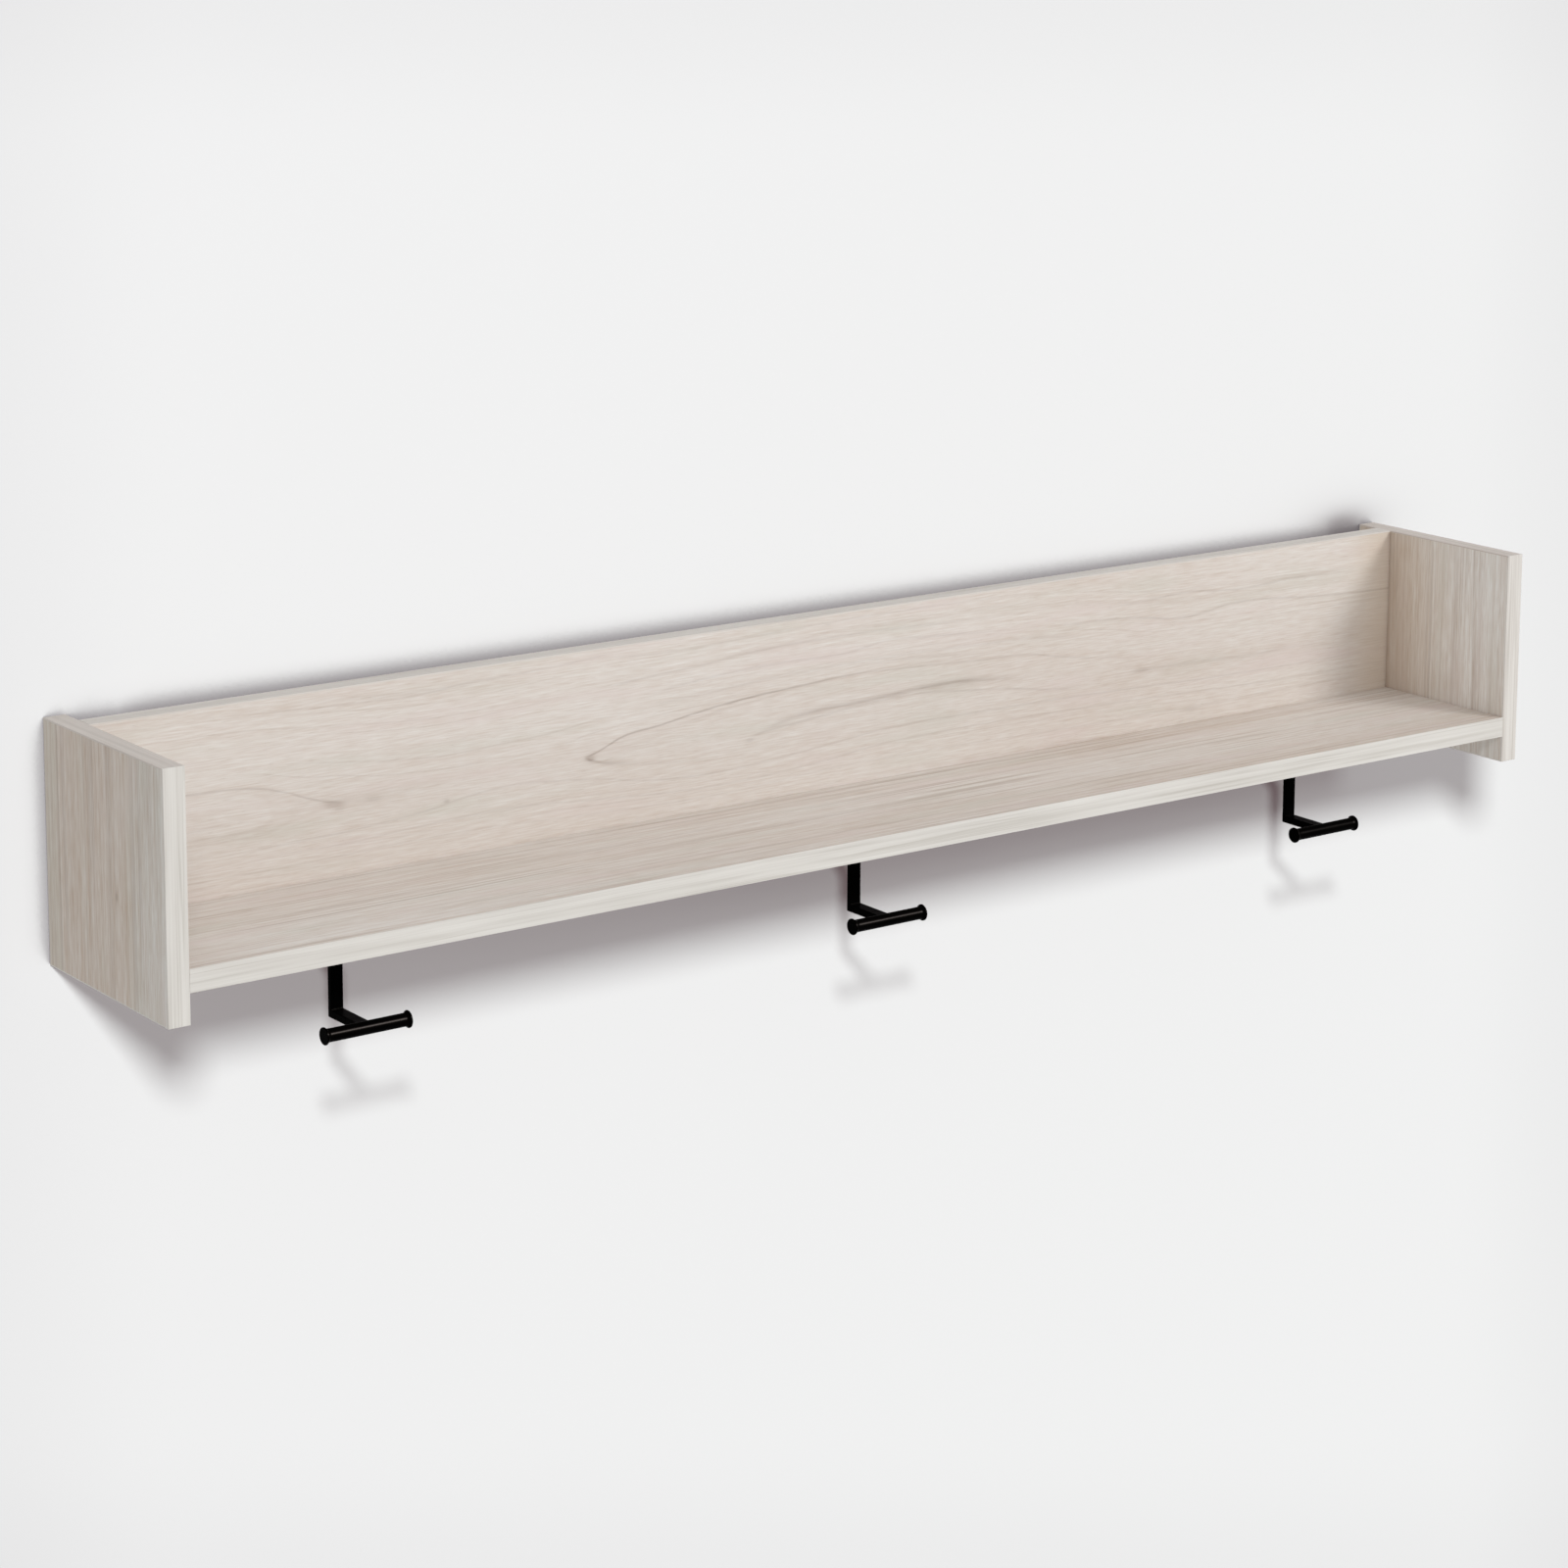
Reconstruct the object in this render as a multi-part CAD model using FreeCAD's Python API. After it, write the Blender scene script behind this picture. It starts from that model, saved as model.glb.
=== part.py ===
import FreeCAD, Part
import math
import os

from FreeCAD import Vector

# Wall coat rack: an open-topped shelf box that hangs on a wall rail, with T-shaped hooks under the shelf.
# Lengths are in millimetres. X runs along the rack, Y = 0 is the wall, -Y is the room side and +Z is up.
# The origin is the middle of the wall rail's screw line, on the wall.

# The box
overall_length = 1219.0
side_depth = 170.0
side_height = 170.0
shelf_rise = 21.0
wall_recess = 20.0
board_thickness = 16.0
band_thickness = 1.0
band_arris_share = 0.5

# The two bevelled rails
rail_height = 50.0
rail_clearance = 2.0
wall_rail_end_gap = 123.5
wall_rail_screw_rise = 22.0
stud_spacing = 406.4
wall_screw_end_margin = 30.0
wall_screw_hole_radius = 2.75
wall_screw_sink_radius = 5.5
rack_rail_end_gap = 40.0
rack_rail_top_drop = 12.0
rack_rail_screw_count = 5
rack_rail_screw_inset = 53.5

# The hooks
hook_names = ("left", "middle", "right")
hook_end_inset = 153.5
bracket_width = 9.6
bracket_arris = 0.8
bracket_inner_radius = 0.5
strap_thickness = 4.0
arm_thickness = 5.5
strap_reach = 86.5
flange_length = 36.0
flange_corner_radius = 2.0
flange_screw_inset = 6.0
flange_screw_spacing = 18.0
cross_bar_reach = 125.5
cross_bar_drop = 63.0
cross_bar_length = 65.4
cross_bar_radius = 4.7
cross_bar_rim_radius = 6.1
cross_bar_rim_width = 0.9
cross_bar_rim_arris = 0.3
cross_bar_flare_length = 3.0

# Joinery: dowels, connecting bolts with cam locks, and long connector screws
dowel_radius = 4.0
dowel_panel_depth = 10.0
dowel_board_depth = 20.0
dowel_chamfer = 0.8
cam_setback = 24.0
cam_radius = 7.4
cam_floor_drop = 4.5
cam_sink = 0.3
cam_jaw_clearance = 0.4
bolt_thread_radius = 2.5
bolt_thread_length = 11.0
bolt_collar_radius = 3.5
bolt_collar_length = 1.5
bolt_neck_radius = 1.6
bolt_head_radius = 3.0
bolt_head_length = 3.0
bolt_bore_radius = 4.0
shelf_fitting_inset = 32.0
back_fitting_inset = 37.0
connector_count = 6
connector_end_inset = 43.5
cap_rim_radius = 8.5
cap_thickness = 0.8
cap_peg_length = 1.5

# Screws: connector screw, rail screw and hook screw
connector_head_radius = 5.0
connector_head_height = 3.0
connector_radius = 3.5
connector_bite = 34.0
connector_socket_width = 4.0
connector_socket_depth = 2.5
rail_screw_head_radius = 4.0
rail_screw_head_height = 2.4
rail_screw_radius = 2.0
rail_screw_bite = 12.0
hook_screw_head_radius = 3.8
hook_screw_head_height = 2.4
hook_screw_head_round_share = 0.5
hook_screw_radius = 2.0
hook_screw_bite = 11.0
screw_tip_length = 2.5
screw_tip_radius = 0.5
recess_span = 4.4
recess_width = 1.0
recess_depth = 1.4
cam_recess_span = 8.0
cam_recess_width = 1.6
cam_recess_depth = 2.5

# Clearances and the overrun of every cut
fit_clearance = 0.1
hole_end_clearance = 0.5
screw_hole_clearance = 0.25
overrun = 5.0

# Planes of the box that the pieces share
outer_half = overall_length / 2
inner_half = outer_half - board_thickness
front_y = -side_depth
back_rear_y = -wall_recess
back_front_y = back_rear_y - board_thickness
back_middle_y = (back_rear_y + back_front_y) / 2
rail_thickness = wall_recess - rail_clearance
wall_rail_low_z = -wall_rail_screw_rise
wall_rail_crest_z = wall_rail_low_z + rail_height
wall_rail_root_z = wall_rail_crest_z - rail_thickness
rack_rail_toe_z = wall_rail_root_z + rail_clearance
rack_rail_heel_z = wall_rail_root_z + wall_recess
rack_rail_top_z = rack_rail_toe_z + rail_height
rack_rail_half = inner_half - rack_rail_end_gap
wall_rail_half = inner_half - wall_rail_end_gap
top_z = rack_rail_top_z + rack_rail_top_drop
side_low_z = top_z - side_height
shelf_low_z = side_low_z + shelf_rise
shelf_top_z = shelf_low_z + board_thickness
shelf_middle_z = (shelf_low_z + shelf_top_z) / 2

RIGHT = Vector(1, 0, 0)
LEFT = Vector(-1, 0, 0)
TO_WALL = Vector(0, 1, 0)
TO_ROOM = Vector(0, -1, 0)
UP = Vector(0, 0, 1)
DOWN = Vector(0, 0, -1)


def block(x_low, x_high, y_low, y_high, z_low, z_high):
    """A rectangular block between two corners."""
    corner = Vector(x_low, y_low, z_low)
    return Part.makeBox(x_high - x_low, y_high - y_low, z_high - z_low, corner)


def prism(outline, x_low, x_high):
    """An outline of (y, z) points, carried along X."""
    points = [Vector(x_low, y, z) for y, z in outline]
    face = Part.Face(Part.makePolygon(points + points[:1]))
    return face.extrude(RIGHT * (x_high - x_low))


def turned(steps):
    """A lathe-turned solid round the local X axis, from (distance, radius) steps."""
    points = [Vector(steps[0][0], 0, 0)]
    points += [Vector(distance, 0, radius) for distance, radius in steps]
    points += [Vector(steps[-1][0], 0, 0)]
    face = Part.Face(Part.makePolygon(points + points[:1]))
    return face.revolve(Vector(0, 0, 0), RIGHT, 360)


def rod(x_low, x_high, radius):
    """A plain round rod on the local X axis."""
    return turned([(x_low, radius), (x_high, radius)])


def placed(shape, origin, along, upward):
    """A copy with its local X laid along one direction and its local Z along another."""
    copy = shape.copy()
    turn = FreeCAD.Rotation(along, upward.cross(along), upward, "XZY")
    copy.Placement = FreeCAD.Placement(origin, turn)
    return copy


def mirrored(shape):
    """The same shape at the other end of the rack."""
    return shape.mirror(Vector(0, 0, 0), RIGHT)


def spread(count, reach):
    """Places along X from -reach to +reach, the same distance apart."""
    return [reach * (2 * index / (count - 1) - 1) for index in range(count)]


def rounded_over(strip, outward, runs):
    """A band strip with the edges of its outward face that follow the given directions rounded."""
    arris = band_thickness * band_arris_share
    height = max(vertex.Point.dot(outward) for vertex in strip.Vertexes)
    edges = []
    for edge in strip.Edges:
        ends = [vertex.Point for vertex in edge.Vertexes]
        on_face = all(abs(point.dot(outward) - height) < arris / 10 for point in ends)
        direction = (ends[1] - ends[0]).normalize()
        if on_face and any(abs(direction.dot(run)) > 0.99 for run in runs):
            edges.append(edge)
    return strip.makeFillet(arris, edges)


# Screws and their drives

def cross_recess(span, width, depth, mouth):
    """The cross-shaped recess of a screw head, cut inwards from its mouth."""
    flat = block(mouth, mouth + depth, -span / 2, span / 2, -width / 2, width / 2)
    upright = block(mouth, mouth + depth, -width / 2, width / 2, -span / 2, span / 2)
    return flat.fuse(upright)


def hex_socket(width, depth):
    """The six-sided socket of a connector screw."""
    corner_radius = width / math.sqrt(3)
    corners = []
    for index in range(6):
        angle = math.radians(60 * index)
        corners.append((corner_radius * math.cos(angle), corner_radius * math.sin(angle)))
    return prism(corners, 0, depth)


def countersunk_screw(head_radius, head_height, radius, length):
    """A countersunk screw whose head lies flush at local X = 0."""
    return turned([
        (0, head_radius),
        (head_height, radius),
        (length - screw_tip_length, radius),
        (length, screw_tip_radius),
    ])


def countersunk_hole(head_radius, head_height, radius, length):
    """The hole for such a screw, open at local X = 0."""
    return turned([
        (-overrun, head_radius + fit_clearance),
        (0, head_radius + fit_clearance),
        (head_height, radius + fit_clearance),
        (length + hole_end_clearance, radius + fit_clearance),
    ])


connector_length = board_thickness + connector_bite
connector_sizes = (connector_head_radius, connector_head_height, connector_radius, connector_length)
rail_screw_length = rail_thickness + rail_screw_bite
rail_screw_sizes = (rail_screw_head_radius, rail_screw_head_height, rail_screw_radius, rail_screw_length)
hook_screw_length = strap_thickness + hook_screw_bite


def connector_screw():
    """The long one-piece screw that joins two boards, driven by a hexagon key."""
    shank = countersunk_screw(*connector_sizes)
    return shank.cut(hex_socket(connector_socket_width, connector_socket_depth))


def rail_screw():
    """The cross-head wood screw that holds the rack rail."""
    shank = countersunk_screw(*rail_screw_sizes)
    return shank.cut(cross_recess(recess_span, recess_width, recess_depth, 0))


def hook_screw():
    """A pan-head screw whose head bears on local X = 0."""
    head = rod(-hook_screw_head_height, 0, hook_screw_head_radius)
    crown = [edge for edge in head.Edges if edge.BoundBox.XMax < -hook_screw_head_height / 2]
    head = head.makeFillet(hook_screw_head_height * hook_screw_head_round_share, crown)
    shank = turned([
        (0, hook_screw_radius),
        (hook_screw_length - screw_tip_length, hook_screw_radius),
        (hook_screw_length, screw_tip_radius),
    ])
    recess = cross_recess(recess_span, recess_width, recess_depth, -hook_screw_head_height)
    return head.fuse(shank).cut(recess).removeSplitter()


def hook_screw_pilot():
    """The blind hole for a hook screw, from the face that the flange lies on."""
    return rod(-overrun, hook_screw_bite + hole_end_clearance, hook_screw_radius + fit_clearance)


# End joints: each is drawn round the local X axis, with X = 0 on the joint face, -X in the panel that
# the end meets, +X in the board, and +Z out of the face that the cam lock is let into

def dowel():
    return turned([
        (-dowel_panel_depth, dowel_radius - dowel_chamfer),
        (-dowel_panel_depth + dowel_chamfer, dowel_radius),
        (dowel_board_depth - dowel_chamfer, dowel_radius),
        (dowel_board_depth, dowel_radius - dowel_chamfer),
    ])


def dowel_hole():
    low = -dowel_panel_depth - hole_end_clearance
    high = dowel_board_depth + hole_end_clearance
    return rod(low, high, dowel_radius + fit_clearance)


def connecting_bolt():
    head_start = cam_setback - bolt_head_length / 2
    neck_start = cam_setback - cam_radius - fit_clearance
    return turned([
        (-bolt_thread_length, bolt_thread_radius),
        (0, bolt_thread_radius),
        (0, bolt_collar_radius),
        (bolt_collar_length, bolt_collar_radius),
        (bolt_collar_length, bolt_thread_radius),
        (neck_start, bolt_thread_radius),
        (neck_start, bolt_neck_radius),
        (head_start, bolt_neck_radius),
        (head_start, bolt_head_radius),
        (head_start + bolt_head_length, bolt_head_radius),
    ])


def on_cam_axis(z_low, z_high, radius):
    """A round plug on the axis of the cam lock, square to the board face."""
    return Part.makeCylinder(radius, z_high - z_low, Vector(cam_setback, 0, z_low))


cam_floor_z = -cam_floor_drop
cam_face_z = board_thickness / 2 - cam_sink


def connecting_bolt_holes():
    """The bolt's hole in the panel, its bore in the board's end, and the cam's bore."""
    panel_hole = rod(-bolt_thread_length - hole_end_clearance, 0, bolt_thread_radius + fit_clearance)
    board_bore = rod(0, cam_setback, bolt_bore_radius)
    cam_bore = on_cam_axis(cam_floor_z, board_thickness / 2 + overrun, cam_radius + fit_clearance)
    return [panel_hole, board_bore, cam_bore]


def cam_lock():
    """The die-cast lock: a drum with a cavity for the bolt's head and a slot for its neck."""
    head_room = bolt_head_radius + cam_jaw_clearance
    neck_room = bolt_neck_radius + cam_jaw_clearance
    head_reach = bolt_head_length / 2 + cam_jaw_clearance
    drum = on_cam_axis(cam_floor_z, cam_face_z, cam_radius)
    cavity = block(
        cam_setback - head_reach, cam_setback + head_reach,
        -head_room, head_room,
        -head_room, head_room,
    )
    slot = block(
        cam_setback - cam_radius - overrun, cam_setback,
        -neck_room, neck_room,
        -head_room, head_room,
    )
    recess = cross_recess(cam_recess_span, cam_recess_width, cam_recess_depth, 0)
    recess = placed(recess, Vector(cam_setback, 0, cam_face_z), DOWN, RIGHT)
    return drum.cut([cavity, slot, recess])


def cam_cap():
    """The press-in cap over a cam lock: a thin disc with a peg in the lock's cross."""
    face_z = board_thickness / 2
    disc = on_cam_axis(face_z, face_z + cap_thickness, cap_rim_radius)
    peg = on_cam_axis(face_z - cam_sink - cap_peg_length, face_z, cam_recess_width / 2 - fit_clearance)
    return disc.fuse(peg).removeSplitter()


# Where the end joints of the right-hand side panel lie: (origin, direction of the cam's mouth)

shelf_front_fitting_y = front_y + shelf_fitting_inset
shelf_rear_fitting_y = back_front_y - shelf_fitting_inset
back_low_fitting_z = shelf_low_z + back_fitting_inset
back_high_fitting_z = top_z - back_fitting_inset

shelf_bolt_places = [
    (Vector(inner_half, shelf_front_fitting_y, shelf_middle_z), DOWN),
    (Vector(inner_half, shelf_rear_fitting_y, shelf_middle_z), DOWN),
]
back_bolt_places = [
    (Vector(inner_half, back_middle_y, back_low_fitting_z), TO_WALL),
    (Vector(inner_half, back_middle_y, back_high_fitting_z), TO_WALL),
]
end_dowel_places = [
    (Vector(inner_half, (shelf_front_fitting_y + shelf_rear_fitting_y) / 2, shelf_middle_z), DOWN),
    (Vector(inner_half, back_middle_y, (back_low_fitting_z + back_high_fitting_z) / 2), TO_WALL),
]
end_bolt_places = shelf_bolt_places + back_bolt_places


def at_right_end(shape, places):
    return [placed(shape, origin, LEFT, mouth) for origin, mouth in places]


def right_end_cuts():
    """Every hole that the end joints of the right-hand side need, in whichever board it lies."""
    cuts = at_right_end(dowel_hole(), end_dowel_places)
    for hole in connecting_bolt_holes():
        cuts += at_right_end(hole, end_bolt_places)
    return cuts


def left_end_cuts():
    return [mirrored(cut) for cut in right_end_cuts()]


# Joint between shelf and back panel: connector screws from behind, with dowels between them

def along_back_joint(shape, y, places_x):
    return [placed(shape, Vector(x, y, shelf_middle_z), TO_ROOM, UP) for x in places_x]


connector_places_x = spread(connector_count, inner_half - connector_end_inset)
back_dowel_places_x = [
    (connector_places_x[1] + connector_places_x[2]) / 2,
    (connector_places_x[-2] + connector_places_x[-3]) / 2,
]


def back_joint_cuts():
    cuts = along_back_joint(countersunk_hole(*connector_sizes), back_rear_y, connector_places_x)
    return cuts + along_back_joint(dowel_hole(), back_front_y, back_dowel_places_x)


# Boards: faced particle board, with the edges cut back by the thickness of their bands

def right_side_panel():
    panel = block(
        inner_half, outer_half,
        front_y + band_thickness, -band_thickness,
        side_low_z + band_thickness, top_z - band_thickness,
    )
    return panel.cut(right_end_cuts())


def back_panel():
    panel = block(
        -inner_half, inner_half,
        back_front_y, back_rear_y,
        shelf_low_z + band_thickness, top_z - band_thickness,
    )
    cuts = right_end_cuts() + left_end_cuts() + back_joint_cuts() + rack_rail_screw_cuts()
    return panel.cut(cuts)


def shelf_board():
    board = block(
        -inner_half, inner_half,
        front_y + band_thickness, back_front_y,
        shelf_low_z, shelf_top_z,
    )
    cuts = right_end_cuts() + left_end_cuts() + back_joint_cuts() + hook_screw_cuts()
    return board.cut(cuts)


# Edge bands: thin strips glued over the cut edges of the boards

def right_side_bands():
    """Front and rear strips over the full height, with the top and bottom strips between them."""
    strips = []
    for y_low, outward in ((front_y, TO_ROOM), (-band_thickness, TO_WALL)):
        strip = block(inner_half, outer_half, y_low, y_low + band_thickness, side_low_z, top_z)
        strips.append(rounded_over(strip, outward, [UP, RIGHT]))
    for z_low, outward in ((side_low_z, DOWN), (top_z - band_thickness, UP)):
        strip = block(
            inner_half, outer_half,
            front_y + band_thickness, -band_thickness,
            z_low, z_low + band_thickness,
        )
        strips.append(rounded_over(strip, outward, [TO_WALL]))
    return strips


def back_panel_bands():
    strips = []
    for z_low, outward in ((shelf_low_z, DOWN), (top_z - band_thickness, UP)):
        strip = block(-inner_half, inner_half, back_front_y, back_rear_y, z_low, z_low + band_thickness)
        strips.append(rounded_over(strip, outward, [RIGHT]))
    return strips


def shelf_front_band():
    strip = block(-inner_half, inner_half, front_y, front_y + band_thickness, shelf_low_z, shelf_top_z)
    return rounded_over(strip, TO_ROOM, [RIGHT])


# Rails: a bevelled strip on the wall and a matching one on the rack, which hooks over it

rack_rail_screw_places_x = spread(rack_rail_screw_count, rack_rail_half - rack_rail_screw_inset)
rack_rail_screw_z = (rack_rail_heel_z + rack_rail_top_z) / 2


def on_rack_rail(shape):
    places = [Vector(x, -rail_clearance, rack_rail_screw_z) for x in rack_rail_screw_places_x]
    return [placed(shape, place, TO_ROOM, UP) for place in places]


def rack_rail_screw_cuts():
    return on_rack_rail(countersunk_hole(*rail_screw_sizes))


def rack_rail():
    outline = [
        (-rail_clearance, rack_rail_toe_z),
        (-rail_clearance, rack_rail_top_z),
        (back_rear_y, rack_rail_top_z),
        (back_rear_y, rack_rail_heel_z),
    ]
    return prism(outline, -rack_rail_half, rack_rail_half).cut(rack_rail_screw_cuts())


def wall_screw_hole():
    """A through hole with a countersink on the room side, from the front face of the wall rail."""
    sink_depth = wall_screw_sink_radius - wall_screw_hole_radius
    return turned([
        (-overrun, wall_screw_sink_radius),
        (0, wall_screw_sink_radius),
        (sink_depth, wall_screw_hole_radius),
        (rail_thickness + overrun, wall_screw_hole_radius),
    ])


def wall_screw_places_x():
    """A hole at each half stud spacing from the middle, as far out as the rail has room."""
    step = stud_spacing / 2
    count = math.floor((wall_rail_half - wall_screw_end_margin) / step)
    return [side * step * index for index in range(1, count + 1) for side in (-1, 1)]


def wall_rail():
    outline = [
        (0, wall_rail_low_z),
        (0, wall_rail_root_z),
        (-rail_thickness, wall_rail_crest_z),
        (-rail_thickness, wall_rail_low_z),
    ]
    rail = prism(outline, -wall_rail_half, wall_rail_half)
    places = [Vector(x, -rail_thickness, 0) for x in wall_screw_places_x()]
    return rail.cut([placed(wall_screw_hole(), place, TO_WALL, UP) for place in places])


# Hooks: flat bar with square corners, as flange, strap and a thicker arm, and a turned cross bar welded to it

strap_front_y = -strap_reach
strap_rear_y = strap_front_y + strap_thickness
flange_rear_y = strap_front_y + flange_length
cross_bar_y = -cross_bar_reach
cross_bar_z = shelf_low_z - cross_bar_drop
arm_top_z = cross_bar_z + arm_thickness / 2
arm_low_z = cross_bar_z - arm_thickness / 2
flange_low_z = shelf_low_z - strap_thickness
hook_places_x = spread(len(hook_names), inner_half - hook_end_inset)
flange_screw_places_y = [
    flange_rear_y - flange_screw_inset,
    flange_rear_y - flange_screw_inset - flange_screw_spacing,
]


def corner_edges(bar, y, z):
    """The edges across the bracket at one corner of its side outline."""
    near = strap_thickness / 10
    return [
        edge for edge in bar.Edges
        if abs(edge.BoundBox.Center.y - y) < near
        and abs(edge.BoundBox.Center.z - z) < near
        and edge.BoundBox.XLength > bracket_width / 2
    ]


def hook_bracket(x):
    outline = [
        (flange_rear_y, shelf_low_z),
        (strap_front_y, shelf_low_z),
        (strap_front_y, arm_top_z),
        (cross_bar_y, arm_top_z),
        (cross_bar_y, arm_low_z),
        (strap_rear_y, arm_low_z),
        (strap_rear_y, flange_low_z),
        (flange_rear_y, flange_low_z),
    ]
    bar = prism(outline, x - bracket_width / 2, x + bracket_width / 2)
    inner_edges = corner_edges(bar, strap_front_y, arm_top_z) + corner_edges(bar, strap_rear_y, flange_low_z)
    bar = bar.makeFillet(bracket_inner_radius, inner_edges)
    outer_edges = corner_edges(bar, strap_rear_y, arm_low_z) + corner_edges(bar, strap_front_y, shelf_low_z)
    bar = bar.makeFillet(bracket_arris, outer_edges)
    end_edges = [
        edge for edge in bar.Edges
        if abs(edge.BoundBox.Center.y - flange_rear_y) < strap_thickness / 10
        and edge.BoundBox.ZLength > strap_thickness / 2
    ]
    bar = bar.makeFillet(flange_corner_radius, end_edges)
    holes = []
    for y in flange_screw_places_y:
        hole = rod(-overrun, strap_thickness + overrun, hook_screw_radius + screw_hole_clearance)
        holes.append(placed(hole, Vector(x, y, flange_low_z), UP, RIGHT))
    saddle = rod(-bracket_width, bracket_width, cross_bar_radius)
    saddle.translate(Vector(x, cross_bar_y, cross_bar_z))
    return bar.cut(holes + [saddle])


def hook_bar(x):
    """The cross bar: a round rod whose ends swell in a hollow curve to a thin rim."""
    half = cross_bar_length / 2
    swell = cross_bar_rim_radius - cross_bar_radius
    rim_x = half - cross_bar_rim_width
    flare_x = rim_x - cross_bar_flare_length
    curve_radius = (cross_bar_flare_length ** 2 + swell ** 2) / (2 * swell)
    half_turn = math.asin(cross_bar_flare_length / curve_radius) / 2
    middle_x = flare_x + curve_radius * math.sin(half_turn)
    middle_r = cross_bar_radius + curve_radius * (1 - math.cos(half_turn))

    def flare(side):
        start = Vector(side * flare_x, 0, cross_bar_radius)
        middle = Vector(side * middle_x, 0, middle_r)
        end = Vector(side * rim_x, 0, cross_bar_rim_radius)
        return start, middle, end

    def rim(side):
        return Vector(side * half, 0, cross_bar_rim_radius), Vector(side * half, 0, 0)

    left_start, left_middle, left_end = flare(-1)
    right_start, right_middle, right_end = flare(1)
    left_rim, left_centre = rim(-1)
    right_rim, right_centre = rim(1)
    edges = [
        Part.makeLine(left_centre, left_rim),
        Part.makeLine(left_rim, left_end),
        Part.Arc(left_end, left_middle, left_start).toShape(),
        Part.makeLine(left_start, right_start),
        Part.Arc(right_start, right_middle, right_end).toShape(),
        Part.makeLine(right_end, right_rim),
        Part.makeLine(right_rim, right_centre),
        Part.makeLine(right_centre, left_centre),
    ]
    bar = Part.Face(Part.Wire(edges)).revolve(Vector(0, 0, 0), RIGHT, 360)
    near = cross_bar_rim_arris / 2
    rim_edges = [edge for edge in bar.Edges if abs(abs(edge.BoundBox.Center.x) - half) < near]
    bar = bar.makeFillet(cross_bar_rim_arris, rim_edges)
    bar.translate(Vector(x, cross_bar_y, cross_bar_z))
    return bar


def hook_screws(x):
    return [placed(hook_screw(), Vector(x, y, flange_low_z), UP, RIGHT) for y in flange_screw_places_y]


def hook_screw_cuts():
    cuts = []
    for x in hook_places_x:
        for y in flange_screw_places_y:
            cuts.append(placed(hook_screw_pilot(), Vector(x, y, shelf_low_z), UP, RIGHT))
    return cuts


# The finished pieces, one file each

def export(name, solids):
    if len(solids) == 1:
        solids[0].exportStep(f"parts/{name}.step")
    else:
        Part.makeCompound(solids).exportStep(f"parts/{name}.step")


def export_pair(name, solids):
    """A group at the right end and its mirror image at the left end."""
    export(f"right_{name}", solids)
    export(f"left_{name}", [mirrored(solid) for solid in solids])


os.makedirs("parts", exist_ok=True)

export_pair("side_panel", [right_side_panel()])
export_pair("side_edge_bands", right_side_bands())
export_pair("end_dowels", at_right_end(dowel(), end_dowel_places))
export_pair("connecting_bolts", at_right_end(connecting_bolt(), end_bolt_places))
export_pair("cam_locks", at_right_end(cam_lock(), end_bolt_places))
right_caps = at_right_end(cam_cap(), shelf_bolt_places)
export("cam_cover_caps", right_caps + [mirrored(cap) for cap in right_caps])

export("back_panel", [back_panel()])
export("back_panel_edge_bands", back_panel_bands())
export("shelf_board", [shelf_board()])
export("shelf_front_edge_band", [shelf_front_band()])
export("back_joint_screws", along_back_joint(connector_screw(), back_rear_y, connector_places_x))
export("back_joint_dowels", along_back_joint(dowel(), back_front_y, back_dowel_places_x))

export("rack_rail", [rack_rail()])
export("rack_rail_screws", on_rack_rail(rail_screw()))
export("wall_rail", [wall_rail()])

for hook_name, hook_x in zip(hook_names, hook_places_x):
    export(f"{hook_name}_hook_bracket", [hook_bracket(hook_x)])
    export(f"{hook_name}_hook_bar", [hook_bar(hook_x)])
    export(f"{hook_name}_hook_screws", hook_screws(hook_x))
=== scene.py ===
import math

import bpy
import numpy as np
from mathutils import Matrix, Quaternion, Vector


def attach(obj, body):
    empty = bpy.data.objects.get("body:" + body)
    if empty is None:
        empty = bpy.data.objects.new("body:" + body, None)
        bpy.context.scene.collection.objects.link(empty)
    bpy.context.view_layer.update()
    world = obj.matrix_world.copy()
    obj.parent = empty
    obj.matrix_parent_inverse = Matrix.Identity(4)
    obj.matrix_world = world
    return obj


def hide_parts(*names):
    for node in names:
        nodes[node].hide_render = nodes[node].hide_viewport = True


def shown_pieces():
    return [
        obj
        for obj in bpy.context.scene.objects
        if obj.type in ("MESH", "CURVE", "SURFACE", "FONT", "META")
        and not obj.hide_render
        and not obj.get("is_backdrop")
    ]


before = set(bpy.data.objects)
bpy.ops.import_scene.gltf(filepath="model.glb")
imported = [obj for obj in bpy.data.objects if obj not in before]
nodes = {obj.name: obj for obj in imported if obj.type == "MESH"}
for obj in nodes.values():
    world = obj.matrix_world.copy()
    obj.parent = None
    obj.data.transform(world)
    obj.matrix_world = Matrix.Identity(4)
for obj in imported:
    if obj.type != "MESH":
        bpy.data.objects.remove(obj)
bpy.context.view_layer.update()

# Side panels: two upright boards of 16 mm particle board, faced on both sides with printed paper that looks
# like pale whitewashed elm with its grain upright. Sawn to size, banded, then drilled for the end fittings.


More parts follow.
